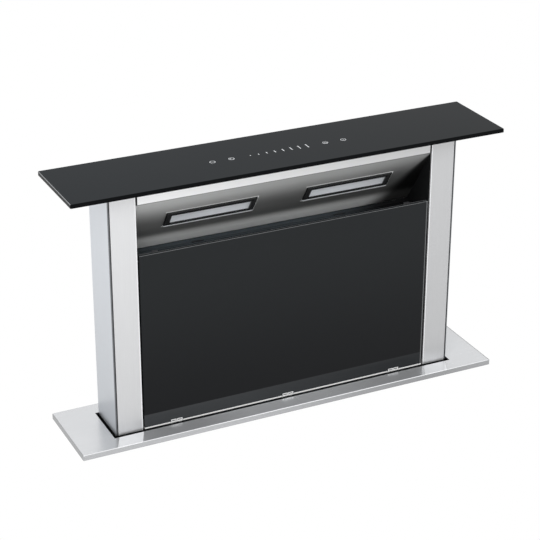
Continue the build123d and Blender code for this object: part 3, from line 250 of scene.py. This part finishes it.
def black_glass(name, specular, colour, ground):
    """Back-painted glass: a deep gloss with a few faint smears, pale and satin where its edge is ground,
    and on the front glass where a highlight is painted along its edge; its black carries painted sheen and
    reflection.
    """
    f = Finish(name, (0.006, 0.0065, 0.007), 0.03, specular=specular)
    smear = f.noise(9.0, 5.0)
    dust = f.noise(DUST)
    edge = ground(f)
    pale = f.shades(f.noise(FROST), (0.20, 0.205, 0.21), (0.46, 0.47, 0.48))
    f.drive("Base Color", f.shades(edge, colour(f), pale))
    f.drive("Roughness", 0.025 + (smear - 0.45).clipped() * 0.06 + dust.over(0.74) * 0.05 + edge * 0.3)
    return f.material


def galvanised(name, colour):
    """Zinc-coated sheet: a mosaic of crystals, each a little lighter or duller than the next."""
    f = Finish(name, colour, 0.38, 0.85)
    wander = f.noise(60.0) * (4.0 * MM)
    place = f.node("ShaderNodeVectorMath", {"operation": "ADD"}, {0: f.place, 1: wander})
    crystal = f.node("ShaderNodeTexVoronoi", None, {"Vector": place, "Scale": CRYSTALS}, output="Color")
    value = f.node("ShaderNodeSeparateColor", None, {0: crystal})
    dulled = f.noise(14.0, 3.0)
    light = value * 0.7 + dulled * 0.3
    f.drive("Base Color", f.shades(light, scaled(colour, 0.84), scaled(colour, 1.16)))
    f.drive("Roughness", 0.30 + value * 0.16 + dulled.swing(0.1))
    f.bump(value, 0.03 * MM, 0.3)
    return f.material


def moulded(name, colour, roughness, grain=0.05 * MM):
    """Moulded plastic or enamel: a fine even grain, with the tone drifting slightly."""
    f = Finish(name, colour, roughness)
    pits = f.noise(PITS, 3.0)
    drift = f.noise(17.0, 3.0)
    f.drive("Base Color", f.shades(drift, scaled(colour, 0.88), scaled(colour, 1.12)))
    f.drive("Roughness", roughness + pits.swing(0.12) + drift.swing(0.06))
    f.bump(pits, grain, 0.35)
    return f.material


def cast(name, colour, roughness):
    """Die-cast aluminium: a sandy skin with darker pores."""
    f = Finish(name, colour, roughness, 0.9)
    skin = f.noise(SAND, 5.0)
    pores = f.noise(PORES).over(0.64)
    light = 0.2 + skin * 0.8 - pores * 0.3
    f.drive("Base Color", f.shades(light, scaled(colour, 0.8), scaled(colour, 1.12)))
    f.drive("Roughness", roughness + skin.swing(0.2))
    f.bump(skin, 0.18 * MM, 0.5)
    return f.material


def plated(name, colour, roughness):
    """Zinc-plated or ground bright steel, with a slight tint that comes and goes."""
    f = Finish(name, colour, roughness, 1.0)
    tint = f.noise(70.0, 3.0)
    marks = f.noise(1.0, 3.0, f.stretched(GRINDING))
    red, green, blue = colour
    f.drive("Base Color", f.shades(tint, scaled(colour, 0.88), (red, green, blue * 0.92)))
    f.drive("Roughness", roughness + marks.swing(0.14))
    f.bump(marks, 0.02 * MM, 0.3)
    return f.material


def opal(name, colour, tone):
    """Lamp window: satin plastic that spreads the light."""
    f = Finish(name, colour, 0.32)
    satin = f.noise(SATIN)
    drift = f.noise(24.0)
    f.drive("Base Color", f.tinted(colour, tone(f) + drift.swing(0.15)))
    f.drive("Roughness", 0.28 + satin * 0.1)
    f.bump(satin, 0.03 * MM, 0.2)
    return f.material


# ---------------------------------------------------------------- places that the finishes follow
lid_low, lid_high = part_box("lid_glass")
glass_low, glass_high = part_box("front_glass")
trim_low, trim_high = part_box("trim_plate")
touch_low, touch_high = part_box("touch_module")
cover_low, cover_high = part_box("front_cover_right")
side_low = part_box("side_panel_left")[0]

# a hair inside a face, so that a mask takes in the face or leaves it out
HAIR = 0.02 * MM
# how far the broken edges reach in: trim and lid, with a margin for the front one, then glass and lamps
EDGE_BREAK = 0.7 * MM
FRONT_BREAK = 1.3 * EDGE_BREAK
GLASS_BREAK = 0.6 * MM
BEZEL_BREAK = 0.8 * MM

# the slot that the riser stands in
SLOT_HALF = 248.14 * MM
SLOT_FRONT = -35.46 * MM
SLOT_REAR = 34.94 * MM

# the sloping panel: the lean of its slope, its half width, and how far its top is above the lamps' middle
LEAN = math.radians(34.465)
SLOPE = (0.0, math.sin(LEAN), -math.cos(LEAN))
SLOPE_FACE = (0.0, -math.cos(LEAN), -math.sin(LEAN))
PANEL_END = 208.1 * MM
PANEL_ABOVE_LAMP = 46.0 * MM
# the lamps: where they sit, half their frames' height and width, and how far these stand off the panel
LAMP_MIDDLE = (0.0, -4.73 * MM, 283.50 * MM)
LAMP_X = 97.5 * MM
RIM_DOWN = 15.0 * MM
RIM_ACROSS = 62.5 * MM
BEZEL_PROUD = 2.0 * MM

# widths of the lines of painted highlight and shade, and of the painted reflection band on the glass
RIM_LINE = 1.4 * MM
BEZEL_LINE = 2.4 * MM
REAR_EDGE = 0.9 * MM
SIDE_LINE = 1.5 * MM
FOLD_GLINT = 1.2 * MM
END_LINE = 1.8 * MM
GAP_LINE = 0.8 * MM
REFLECTION_BAND = 28.0 * MM


def lid_ground_edge(f):
    """The pale ground edge at the lid's rear and ends; the front one is left black as painted shade."""
    slant = f.axis("Z").between(lid_high.z - EDGE_BREAK + HAIR, lid_high.z - HAIR)
    return slant * f.axis("Y").over(lid_low.y + FRONT_BREAK)


def lid_colour_and_sheen(f):
    """Black with the faintest blue; the top is painted paler as sheen, paler still towards its left end,
    while the edges stay darker.
    """
    along = f.axis("X").rising(lid_low.x, lid_high.x) + f.noise(9.0, 5.0).swing(0.2)
    top = f.shades(along.clipped(), (0.0105, 0.0140, 0.0172), (0.0050, 0.0075, 0.0095))
    return f.shades(f.axis("Z").over(lid_high.z - HAIR), (0.0045, 0.0050, 0.0056), top)


def glass_edge_and_glints(f):
    """Pale ground lines along the front glass's top, with a painted highlight along the rear of its top
    face and another down its right side; the rest of its edge is black.
    """
    top_paleness, side_paleness = 0.4, 0.38
    middle = (glass_low.y + glass_high.y) / 2
    flat = (glass_high.y - glass_low.y) / 2 - GLASS_BREAK + HAIR
    slant = (f.axis("Y") - middle).size().over(flat)
    top = f.axis("Z").over(glass_high.z - GLASS_BREAK + HAIR) * slant
    # painted highlights: a strip along the rear of the top face, and a line down the right end only
    rear = f.axis("Z").over(glass_high.z - HAIR) * f.axis("Y").over(glass_high.y - GLASS_BREAK - REAR_EDGE)
    face_end = glass_high.x - GLASS_BREAK
    side = f.axis("X").between(face_end - SIDE_LINE, face_end + HAIR)
    return ((top + rear) * top_paleness + side * side_paleness).clipped()


def glass_colour_and_reflection(f):
    """Black painted a little lighter upwards as sheen, over a paler band along the foot that is a painted
    reflection of the trim, lighter to the left.
    """
    height = f.axis("Z")
    body = f.shades(height.rising(0.0, glass_high.z), (0.0042, 0.0048, 0.0060), (0.0145, 0.0165, 0.0180))
    along = f.axis("X").rising(glass_low.x, glass_high.x)
    trim_reflection = f.shades(along, (0.042, 0.045, 0.048), (0.020, 0.022, 0.024))
    return f.shades(height.between(0.0, REFLECTION_BAND), body, trim_reflection)


def before_slot(f):
    """The trim's upper side in front of the slot."""
    on_top = f.axis("Z").over(trim_high.z - EDGE_BREAK + HAIR)
    return on_top * f.axis("Y").under(SLOT_FRONT)


def seen_along(f):
    """How far from the middle the part of the vent's front is that a place on the trim mirrors, as seen
    from the camera; it places the painted reflections.
    """
    return (f.axis("X") - (f.axis("Y") - SLOT_FRONT) * math.tan(AZIMUTH)).size()


def column_glare(f):
    """The part of the trim's front where the reflection of the columns is painted."""
    return before_slot(f) * seen_along(f).between(cover_low.x, cover_high.x)


def trim_metal(f):
    """The painted glare before the columns mirrors less, so that it stays lighter than they are."""
    return BRUSHED_METAL - column_glare(f) * 0.42


def trim_tone(f):
    """Painted light and shade on the trim: shade on its sides, deeper to the right and on its left end, a
    highlight on the front broken edge and shade on the others, reflections of the columns and the glass, a
    dark line along its right end, shade in the slot walls, and a top that darkens slightly to the right.
    """
    x, y, height = (f.axis(letter) for letter in "XYZ")
    # painted shade on the sides, and a painted highlight on the front broken edge with painted shade on the
    # other broken edges
    skirt = height.under(trim_high.z - EDGE_BREAK + HAIR)
    slant = height.between(trim_high.z - EDGE_BREAK + HAIR, trim_high.z - HAIR)
    edge = slant * (y.under(trim_low.y + FRONT_BREAK) * 0.75 - 0.45)
    right_half = x.rising(-120.0 * MM, 160.0 * MM)
    right_end = x.rising(200.0 * MM, trim_high.x)
    left_face = x.under(trim_low.x + HAIR)
    skirt_shade = skirt * (0.28 + right_half * 0.23 - right_end * 0.09 + left_face * 0.28)
    # painted reflection of the glass, a painted dark line along the right end, and painted shade darkening
    # the top to the right
    glass_reflection = before_slot(f) * seen_along(f).under(cover_low.x)
    glass_reflection_tone = x.rising(-160.0 * MM, -40.0 * MM) * 0.45 - x.rising(20.0 * MM, 180.0 * MM) * 0.37
    end = x.over(trim_high.x - END_LINE) * (1.0 - skirt)
    plain = 1.04 - x.rising(0.0, trim_high.x) * 0.04
    tone = plain - skirt_shade + edge + column_glare(f) * 0.36 + glass_reflection * glass_reflection_tone - end * 0.55
    # painted shade in the slot walls
    slot_shade = y.between(SLOT_FRONT - EDGE_BREAK, SLOT_REAR + EDGE_BREAK)
    return tone * (1.0 - slot_shade * x.size().under(SLOT_HALF + EDGE_BREAK) * 0.95)


def in_slot(f):
    """Painted shade: dark where a raised column still stands in its slot."""
    return 1.0 - f.axis("Z").under(trim_high.z) * 0.95


def column_tone(f):
    """Painted light: lighter towards the top and the left, with a painted glint along the inner fold and a
    painted reflection of the trim lightening the right column's foot.
    """
    height = f.axis("Z") / lid_low.z
    right = f.axis("X").over(0.0)
    fold = f.axis("X").size().under(cover_low.x + FOLD_GLINT)
    foot = 1.0 - height.rising(0.03, 0.09)
    face = 0.90 + height * 0.277 - right * (0.143 + height * 0.134 - foot * 0.25)
    return (face + fold * 0.55) * in_slot(f)


def side_tone(f):
    """Painted lighter towards the top, with a painted shadow of the gap along its front edge."""
    gap = f.axis("Y").under(side_low.y + GAP_LINE)
    return (0.80 + f.axis("Z") / lid_low.z * 0.33) * (1.0 - gap * 0.75) * in_slot(f)


def rail_tone(f):
    """Painted shade: the rail darkens from the left to the right."""
    return 1.30 - f.axis("X").rising(-lid_high.x, lid_high.x) * 0.50


def lamp_rim(f):
    """The painted highlight line on the panel along the top, the foot and the right end of each lamp."""
    across = f.axis("X")
    down = f.towards(SLOPE, LAMP_MIDDLE).size()
    beside = (across.size() - LAMP_X).size()
    lines = down.between(RIM_DOWN, RIM_DOWN + RIM_LINE) * beside.under(RIM_ACROSS + RIM_LINE)
    for middle in (-LAMP_X, LAMP_X):
        end = (across - middle).between(RIM_ACROSS, RIM_ACROSS + RIM_LINE)
        lines = lines + end * down.under(RIM_DOWN)
    return lines.clipped()


def panel_tone(f):
    """Painted light and shade: down its slope the panel goes from light to dark and back, as painted
    reflections, with painted shade in the crease under its top and towards its right; a painted shadow
    makes it black towards its right end, and painted highlight lines run round the lamps.
    """
    across = f.axis("X")
    down = f.towards(SLOPE, LAMP_MIDDLE)
    below_top = down + PANEL_ABOVE_LAMP
    left, right_lamp = -0.75 * PANEL_END, 0.3 * PANEL_END
    to_right = across.rising(right_lamp, PANEL_END)
    # painted reflections: light at the top, dark across the middle, light again at the foot
    fall = (down + to_right * (9.0 * MM)).rising(-38.0 * MM, 6.0 * MM)
    foot = down.rising(26.0 * MM, 46.0 * MM)
    # painted shade in the crease under the panel's top
    crease_shade = 1.0 - below_top.rising(0.0, 3.0 * MM)
    along = (0.97 - fall * 0.57 + foot * 1.05) * (1.0 - crease_shade * 0.7)
    # painted shade towards the right
    rightward_shade = 1.0 - (across.rising(left, right_lamp) * 0.24 + to_right * 0.16) * (1.0 - foot * 0.8)
    shadow = 1.0 - ((PANEL_END - across) / below_top).rising(0.32, 0.74)
    rim = lamp_rim(f)
    return along * rightward_shade * (1.0 - shadow * 0.95) * (1.0 - rim) + rim * 1.3


def panel_metal(f):
    """The painted light at the foot of the panel and the painted highlight lines round the lamps mirror
    less, so that they stay light.
    """
    foot = f.towards(SLOPE, LAMP_MIDDLE).rising(28.0 * MM, 38.0 * MM)
    return 0.55 - (foot + lamp_rim(f)).clipped() * 0.5


def bezel_foot(f):
    """The painted highlight line along the foot of each lamp's frame."""
    return f.towards(SLOPE, LAMP_MIDDLE).over(RIM_DOWN - BEZEL_BREAK - BEZEL_LINE)


def bezel_tone(f):
    """Dark frame, with painted shade on its broken edges and a painted highlight line along its foot."""
    rise = f.towards(SLOPE_FACE, LAMP_MIDDLE)
    slant = rise.between(BEZEL_PROUD - BEZEL_BREAK + HAIR, BEZEL_PROUD - HAIR)
    return 0.09 - slant * 0.06 + bezel_foot(f) * 1.3


def bezel_metal(f):
    """The painted highlight line along the foot of the frame mirrors less than the frame."""
    return BRUSHED_METAL - bezel_foot(f) * 0.55


def lens_tone(f):
    """Painted light: a little lighter towards the foot of the window and its left end."""
    down = f.towards(SLOPE, LAMP_MIDDLE).rising(-0.6 * RIM_DOWN, 0.7 * RIM_DOWN)
    return 0.92 + down * 0.26 - (f.axis("X").size() - LAMP_X).rising(0.0, RIM_ACROSS) * 0.12


def frame_enamel(name):
    """Blue-black enamel of the filter frame, lost in shade towards its right end."""
    f = Finish(name, (0.030, 0.036, 0.042), 0.5)
    shade = f.axis("X").rising(0.4 * PANEL_END, 0.85 * PANEL_END)
    f.drive("Base Color", f.shades(shade, (0.046, 0.056, 0.063), (0.004, 0.0045, 0.005)))
    pits = f.noise(PITS, 3.0)
    f.drive("Roughness", 0.5 + pits.swing(0.12))
    f.bump(pits, 0.05 * MM, 0.35)
    return f.material


# the finish of each material slot of the part, and of the pieces that have one of their own
finishes = {
    "brushed_trim": steel(
        "brushed_trim", (0.665, 0.675, 0.69), 0.24, "x", tone=trim_tone, metal=trim_metal
    ),
    "satin_steel": steel("satin_steel", (0.68, 0.685, 0.695), 0.32, "z"),
    "inner_steel": steel("inner_steel", (0.44, 0.46, 0.46), 0.34, "x", 0.05),
    "bezel_steel": steel(
        "bezel_steel", (0.62, 0.64, 0.66), 0.22, "x", tone=bezel_tone, metal=bezel_metal
    ),
    "filter_steel": steel("filter_steel", (0.62, 0.63, 0.64), 0.28, "z"),
    "black_glass": black_glass("black_glass", 0.15, glass_colour_and_reflection, glass_edge_and_glints),
    "black_metal": moulded("black_metal", (0.014, 0.015, 0.016), 0.50),
    "galvanised": galvanised("galvanised", (0.56, 0.59, 0.61)),
    "lens": opal("lens", (0.80, 0.83, 0.87), lens_tone),
    "black_plastic": moulded("black_plastic", (0.022, 0.022, 0.024), 0.46),
    "grey_plastic": moulded("grey_plastic", (0.30, 0.32, 0.34), 0.48),
    "white_acetal": moulded("white_acetal", (0.78, 0.78, 0.75), 0.36, 0.02 * MM),
    "bright_steel": plated("bright_steel", (0.86, 0.87, 0.88), 0.24),
    "zinc_screw": plated("zinc_screw", (0.64, 0.65, 0.64), 0.28),
    "cast_aluminium": cast("cast_aluminium", (0.52, 0.53, 0.54), 0.42),
    "magnet": moulded("magnet", (0.06, 0.06, 0.065), 0.40, 0.1 * MM),
}
# the columns' fronts take painted light and shade from column_tone
column_steel = steel("column_steel", (0.68, 0.685, 0.695), 0.32, "z", tone=column_tone)
# the side panels' steel is a little bluer than the columns' fronts, a painted reflection of cool
# surroundings
side_steel = steel("side_steel", (0.66, 0.69, 0.73), 0.32, "z", tone=side_tone)
# the lip's steel is near white and hardly metallic: a lit copy of steel that paints the bright line along
# the glass's foot as a highlight
lip_steel = steel("lip_steel", (0.97, 0.97, 0.97), 0.30, "x", metallic=0.1)
shadow_black = moulded("shadow_black", (0.004, 0.0045, 0.005), 0.6)
own_finishes = {
    "lid_glass": black_glass("lid_black_glass", 0.033, lid_colour_and_sheen, lid_ground_edge),
    "light_panel": steel(
        "light_panel_steel", (0.66, 0.67, 0.665), 0.46, "x", tone=panel_tone, metal=panel_metal
    ),
    "front_rail": steel("rail_steel", (0.78, 0.785, 0.79), 0.32, "x", tone=rail_tone),
    "filter_frame": frame_enamel("filter_frame_enamel"),
    "glass_channel": lip_steel,
    "glass_clips": lip_steel,
}
for hand in ("left", "right"):
    own_finishes[f"front_cover_{hand}"] = column_steel
    own_finishes[f"side_panel_{hand}"] = side_steel
    own_finishes[f"end_cheek_{hand}"] = shadow_black
    # the column frames are near black so that the gap at each column's front corner reads as painted shade
    own_finishes[f"column_frame_{hand}"] = shadow_black

for subpart in frame["record"]["subparts"]:
    dressed = frame["nodes"][subpart["node"]]
    dressed.data.materials.clear()
    dressed.data.materials.append(own_finishes.get(subpart["node"], finishes[subpart["material_slot"]]))


# ---------------------------------------------------------------- modelling helpers
def only(*pieces):
    """Selects these objects and nothing else."""
    bpy.ops.object.select_all(action="DESELECT")
    for piece in pieces:
        piece.select_set(True)
    bpy.context.view_layer.objects.active = pieces[0]


def named(name):
    """The object that the last operator added, under its own name."""
    piece = bpy.context.active_object
    piece.name = name
    piece.data.name = name
    return piece


def block(name, low, high):
    """A box between two corners, to be shaped further."""
    bpy.ops.object.select_all(action="DESELECT")
    middle = [(a + b) / 2 for a, b in zip(low, high)]
    bpy.ops.mesh.primitive_cube_add(size=1.0, location=middle)
    piece = named(name)
    piece.scale = [abs(b - a) for a, b in zip(low, high)]
    settle(piece)
    return piece


def settle(piece):
    """Puts a piece's place, turn and size into its mesh."""
    only(piece)
    bpy.ops.object.transform_apply(location=True, rotation=True, scale=True)


def with_modifier(piece, kind, **settings):
    """Adds a modifier and applies it."""
    only(piece)
    modifier = piece.modifiers.new(kind, kind)
    for key, value in settings.items():
        setattr(modifier, key, value)
    bpy.ops.object.modifier_apply(modifier=modifier.name)


def joined(name, pieces):
    """Makes one piece of several."""
    only(*pieces)
    bpy.ops.object.join()
    return named(name)


def dress(piece, slot, body):
    """Gives a piece its finish and the body that it moves with."""
    piece.data.materials.clear()
    piece.data.materials.append(finishes[slot])
    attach(piece, body)
    return piece


# ---------------------------------------------------------------- touch marks printed on the lid
MARK_TOP = lid_high.z + 0.03 * MM
MARK_DEPTH = 0.06 * MM
MARK_HEIGHT = MARK_TOP - MARK_DEPTH / 2
MARKS_MIDDLE = -1.7 * MM
MARKS_Y = (touch_low.y + touch_high.y) / 2
INNER_RING = 66.0 * MM
OUTER_RING = 92.0 * MM
RING_RADIUS = 3.75 * MM
RING_WIDTH = 0.75 * MM
BAR_COUNT = 8
BAR_STEP = 11.4 * MM
BAR_WIDTH = 1.25 * MM
SHORTEST_BAR = 2.0 * MM
LONGEST_BAR = 11.5 * MM


def ring_mark(x):
    """A thin printed ring."""
    bpy.ops.object.select_all(action="DESELECT")
    bpy.ops.mesh.primitive_cylinder_add(
        vertices=32, radius=RING_RADIUS, depth=MARK_DEPTH, end_fill_type="NOTHING",
        location=(MARKS_MIDDLE + x, MARKS_Y, MARK_HEIGHT),
    )
    ring = named("ring_mark")
    settle(ring)
    with_modifier(ring, "SOLIDIFY", thickness=RING_WIDTH, offset=-1.0)
    return ring


def bar_mark(x, width, length, turn=0.0):
    """A thin printed stroke."""
    bpy.ops.object.select_all(action="DESELECT")
    place = (MARKS_MIDDLE + x, MARKS_Y, MARK_HEIGHT)
    bpy.ops.mesh.primitive_cube_add(size=1.0, location=place, rotation=(0, 0, turn))
    bar = named("bar_mark")
    bar.scale = (width, length, MARK_DEPTH)
    settle(bar)
    with_modifier(bar, "BEVEL", width=width * 0.3, segments=2, affect="EDGES")
    return bar


marks = [ring_mark(x) for x in (-OUTER_RING, -INNER_RING, INNER_RING, OUTER_RING)]
# the first ring is empty, and the others hold plain strokes
marks.append(bar_mark(-INNER_RING - 1.0 * MM, 0.9 * MM, 2.6 * MM))
for shift in (-1.1 * MM, 1.1 * MM):
    marks.append(bar_mark(INNER_RING + shift, 0.8 * MM, 2.8 * MM))
marks.append(bar_mark(OUTER_RING, 0.6 * MM, 2.2 * MM, math.radians(90)))
for step in range(BAR_COUNT):
    growth = step / (BAR_COUNT - 1)
    length = SHORTEST_BAR + (LONGEST_BAR - SHORTEST_BAR) * growth
    marks.append(bar_mark((growth - 0.5) * (BAR_COUNT - 1) * BAR_STEP, BAR_WIDTH, length))
touch_marks = joined("touch_marks", marks)
touch_marks.data.materials.clear()
touch_marks.data.materials.append(moulded("print", (0.82, 0.84, 0.86), 0.5, 0.01 * MM))
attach(touch_marks, "riser")


# ---------------------------------------------------------------- screws
TO_FRONT = (0, -1, 0)
TO_REAR = (0, 1, 0)
SCREW_TURN = math.radians(37)
# a head's rounding and its recess, as parts of its rise and of its radius
HEAD_ROUND = 0.45
RECESS_FLOOR = 0.35
RECESS_LONG = 0.62
RECESS_WIDE = 0.13
# the housing's beads stand this far off the sheet that its screws sit on
BEAD_DEPTH = 2.0 * MM
SEAM_INSET = 6.0 * MM
FOOT_INSET = 10.0 * MM
FOOT_X = (-200.0 * MM, -100.0 * MM, 0.0, 225.0 * MM)
FIRST_ROW = -70.0 * MM
ROW_STEP = 120.0 * MM
ROWS = 6
PLATE_INSET = 7.0 * MM
MOTOR_INSET = 9.0 * MM
MOTOR_FLANGE = 3.0 * MM
PANEL_INSET = 12.0 * MM
PANEL_FIRST = 24.0 * MM
PANEL_STEP = 76.0 * MM
PANEL_ROWS = 5


def cross_screw(radius, rise):
    """A screw's head with its cross recess, standing on the origin."""
    bpy.ops.object.select_all(action="DESELECT")
    bpy.ops.mesh.primitive_cylinder_add(vertices=24, radius=radius, depth=rise, location=(0, 0, rise / 2))
    head = named("screw_head")
    settle(head)
    with_modifier(head, "BEVEL", width=rise * HEAD_ROUND, segments=3, limit_method="ANGLE")
    for reach in ((RECESS_LONG, RECESS_WIDE), (RECESS_WIDE, RECESS_LONG)):
        across, along = (share * radius for share in reach)
        slot = block("recess", (-across, -along, rise * RECESS_FLOOR), (across, along, rise * 2))
        with_modifier(head, "BOOLEAN", operation="DIFFERENCE", object=slot, solver="EXACT")
        bpy.data.objects.remove(slot)
    return head


def screwed(name, body, radius, rise, places):
    """One piece made of a screw copied to each place, every copy turned a little further."""
    master = cross_screw(radius, rise)
    screws = []
    for number, (place, outwards) in enumerate(places):
        only(master)
        bpy.ops.object.duplicate()
        screw = bpy.context.active_object
        facing = Vector(outwards).to_track_quat("Z", "Y").to_matrix().to_4x4()
        turned = Matrix.Rotation(number * SCREW_TURN, 4, "Z")
        screw.matrix_world = Matrix.Translation(place) @ facing @ turned
        settle(screw)
        screws.append(screw)
    bpy.data.objects.remove(master)
    return dress(joined(name, screws), "zinc_screw", body)


def at_corners(low, high, inset, face):
    """The four corners of an upright plate that faces the cook, each moved in."""
    return [
        ((x, face, z), TO_FRONT)
        for x in (low.x + inset, high.x - inset)
        for z in (low.z + inset, high.z - inset)
    ]


front_low, front_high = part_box("housing_front")
rear_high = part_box("housing_rear")[1]
seams = ((front_low.y + BEAD_DEPTH, TO_FRONT), (rear_high.y - BEAD_DEPTH, TO_REAR))
side_x = front_high.x - SEAM_INSET
up_the_sides = [
    ((hand * side_x, face, FIRST_ROW - row * ROW_STEP), outwards)
    for face, outwards in seams
    for hand in (-1, 1)
    for row in range(ROWS)
]
along_the_foot = [
    ((x, face, front_low.z + FOOT_INSET), outwards)
    for x in FOOT_X
    for face, outwards in seams
]
screwed("housing_screws", "housing", 3.4 * MM, 1.9 * MM, up_the_sides + along_the_foot)

plate_low, plate_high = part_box("control_box_lid")
plate_corners = at_corners(plate_low, plate_high, PLATE_INSET, plate_low.y)
screwed("control_box_screws", "housing", 2.8 * MM, 1.5 * MM, plate_corners)

motor_low, motor_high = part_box("blower_motor")
casing_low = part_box("blower_casing")[0]
motor_corners = at_corners(motor_low, motor_high, MOTOR_INSET, casing_low.y - MOTOR_FLANGE)
screwed("motor_screws", "housing", 3.8 * MM, 2.2 * MM, motor_corners)

back_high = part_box("rear_panel")[1]
up_the_back = [
    ((hand * (back_high.x - PANEL_INSET), back_high.y, PANEL_FIRST + row * PANEL_STEP), TO_REAR)
    for hand in (-1, 1)
    for row in range(PANEL_ROWS)
]
screwed("rear_panel_screws", "riser", 3.2 * MM, 0.3 * MM, up_the_back)


# ---------------------------------------------------------------- worktop and floor
WORKTOP_THICKNESS = 38.0 * MM
WORKTOP_LEFT = -460.0 * MM
WORKTOP_RIGHT = 320.0 * MM
WORKTOP_FRONT = -470.0 * MM
# how far the clamps reach under the worktop past the cut-out, and the gap before and behind the shaft
CLAMP_REACH = 30.0 * MM
CUT_GAP = 4.0 * MM
FLOOR_GAP = 0.5 * MM
FLOOR_SIDE = 12.0
shaft_low, shaft_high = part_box("housing_base")
clamps_low, clamps_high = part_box("worktop_clamps")


def stage_white(name, colour, roughness):
    """Matt stage surface that is seen as the white background and still lights the vent."""
    material = bpy.data.materials.new(name)
    nodes = Nodes(material)
    constants = {"Base Color": (*colour, 1.0), "Roughness": roughness}
    lit = nodes.node("ShaderNodeBsdfPrincipled", None, constants)
    white = nodes.node("ShaderNodeEmission", None, {"Color": WHITE})
    nodes.seen_white(lit, white, "ShaderNodeOutputMaterial")
    return material


worktop = block(
    "worktop",
    (WORKTOP_LEFT, WORKTOP_FRONT, -WORKTOP_THICKNESS),
    (WORKTOP_RIGHT, trim_high.y, 0.0),
)
cutter = block(
    "cut_out",
    (clamps_low.x + CLAMP_REACH, shaft_low.y - CUT_GAP, -2 * WORKTOP_THICKNESS),
    (clamps_high.x - CLAMP_REACH, shaft_high.y + CUT_GAP, WORKTOP_THICKNESS),
)
with_modifier(worktop, "BOOLEAN", operation="DIFFERENCE", object=cutter, solver="EXACT")
bpy.data.objects.remove(cutter)
worktop.data.materials.clear()
worktop.data.materials.append(stage_white("worktop_top", (0.80, 0.80, 0.80), 0.6))
worktop.data.materials.append(moulded("worktop_side", (0.62, 0.62, 0.61), 0.6))
for face in worktop.data.polygons:
    face.material_index = 0 if face.normal.z > 0.9 else 1

bpy.ops.object.select_all(action="DESELECT")
bpy.ops.mesh.primitive_plane_add(size=FLOOR_SIDE, location=(0.0, 0.0, shaft_low.z - FLOOR_GAP))
floor = named("floor")
settle(floor)
floor.data.materials.append(stage_white("floor", (0.82, 0.82, 0.82), 0.7))


# ---------------------------------------------------------------- camera and light
ELEVATION = math.radians(25.043)
ROLL = math.radians(0.109)
TARGET = Vector((-11.51, 0.0, 182.52)) * MM
DISTANCE = 2234.0 * MM
LENS = 113.89
FILM_WIDTH = 36.0
LIT_AT = Vector((0.0, 0.0, 0.1))
SKY = 0.55

sight = Vector((
    math.sin(AZIMUTH) * math.cos(ELEVATION),
    math.cos(AZIMUTH) * math.cos(ELEVATION),
    -math.sin(ELEVATION),
))
camera_data = bpy.data.cameras.new("camera")
camera_data.lens = LENS
camera_data.sensor_width = FILM_WIDTH
camera_data.clip_start = 0.05
camera = bpy.data.objects.new("camera", camera_data)
bpy.context.scene.collection.objects.link(camera)
turn = sight.to_track_quat("-Z", "Y").to_matrix().to_4x4() @ Matrix.Rotation(ROLL, 4, "Z")
camera.matrix_world = Matrix.Translation(TARGET - sight * DISTANCE) @ turn
bpy.context.scene.camera = camera


def softbox(name, place, side, power):
    """A large square soft lamp that points at the vent and is seen in no reflection."""
    data = bpy.data.lights.new(name, "AREA")
    data.shape = "RECTANGLE"
    data.size = side
    data.size_y = side
    data.energy = power
    lamp = bpy.data.objects.new(name, data)
    bpy.context.scene.collection.objects.link(lamp)
    lamp.location = place
    lamp.rotation_euler = (LIT_AT - Vector(place)).to_track_quat("-Z", "Y").to_euler()
    lamp.visible_glossy = False


softbox("key", place=(-1.6, -2.2, 2.4), side=1.8, power=60.0)
softbox("fill", place=(2.4, -1.6, 1.2), side=1.6, power=22.0)
softbox("back", place=(0.6, 2.6, 1.8), side=1.6, power=20.0)

world = bpy.data.worlds.new("studio")
bpy.context.scene.world = world
sky = Nodes(world)
lit_sky = sky.node("ShaderNodeBackground", None, {"Color": WHITE, "Strength": SKY})
white_sky = sky.node("ShaderNodeBackground", None, {"Color": WHITE})
sky.seen_white(lit_sky, white_sky, "ShaderNodeOutputWorld")

bpy.context.scene.view_settings.view_transform = "Standard"
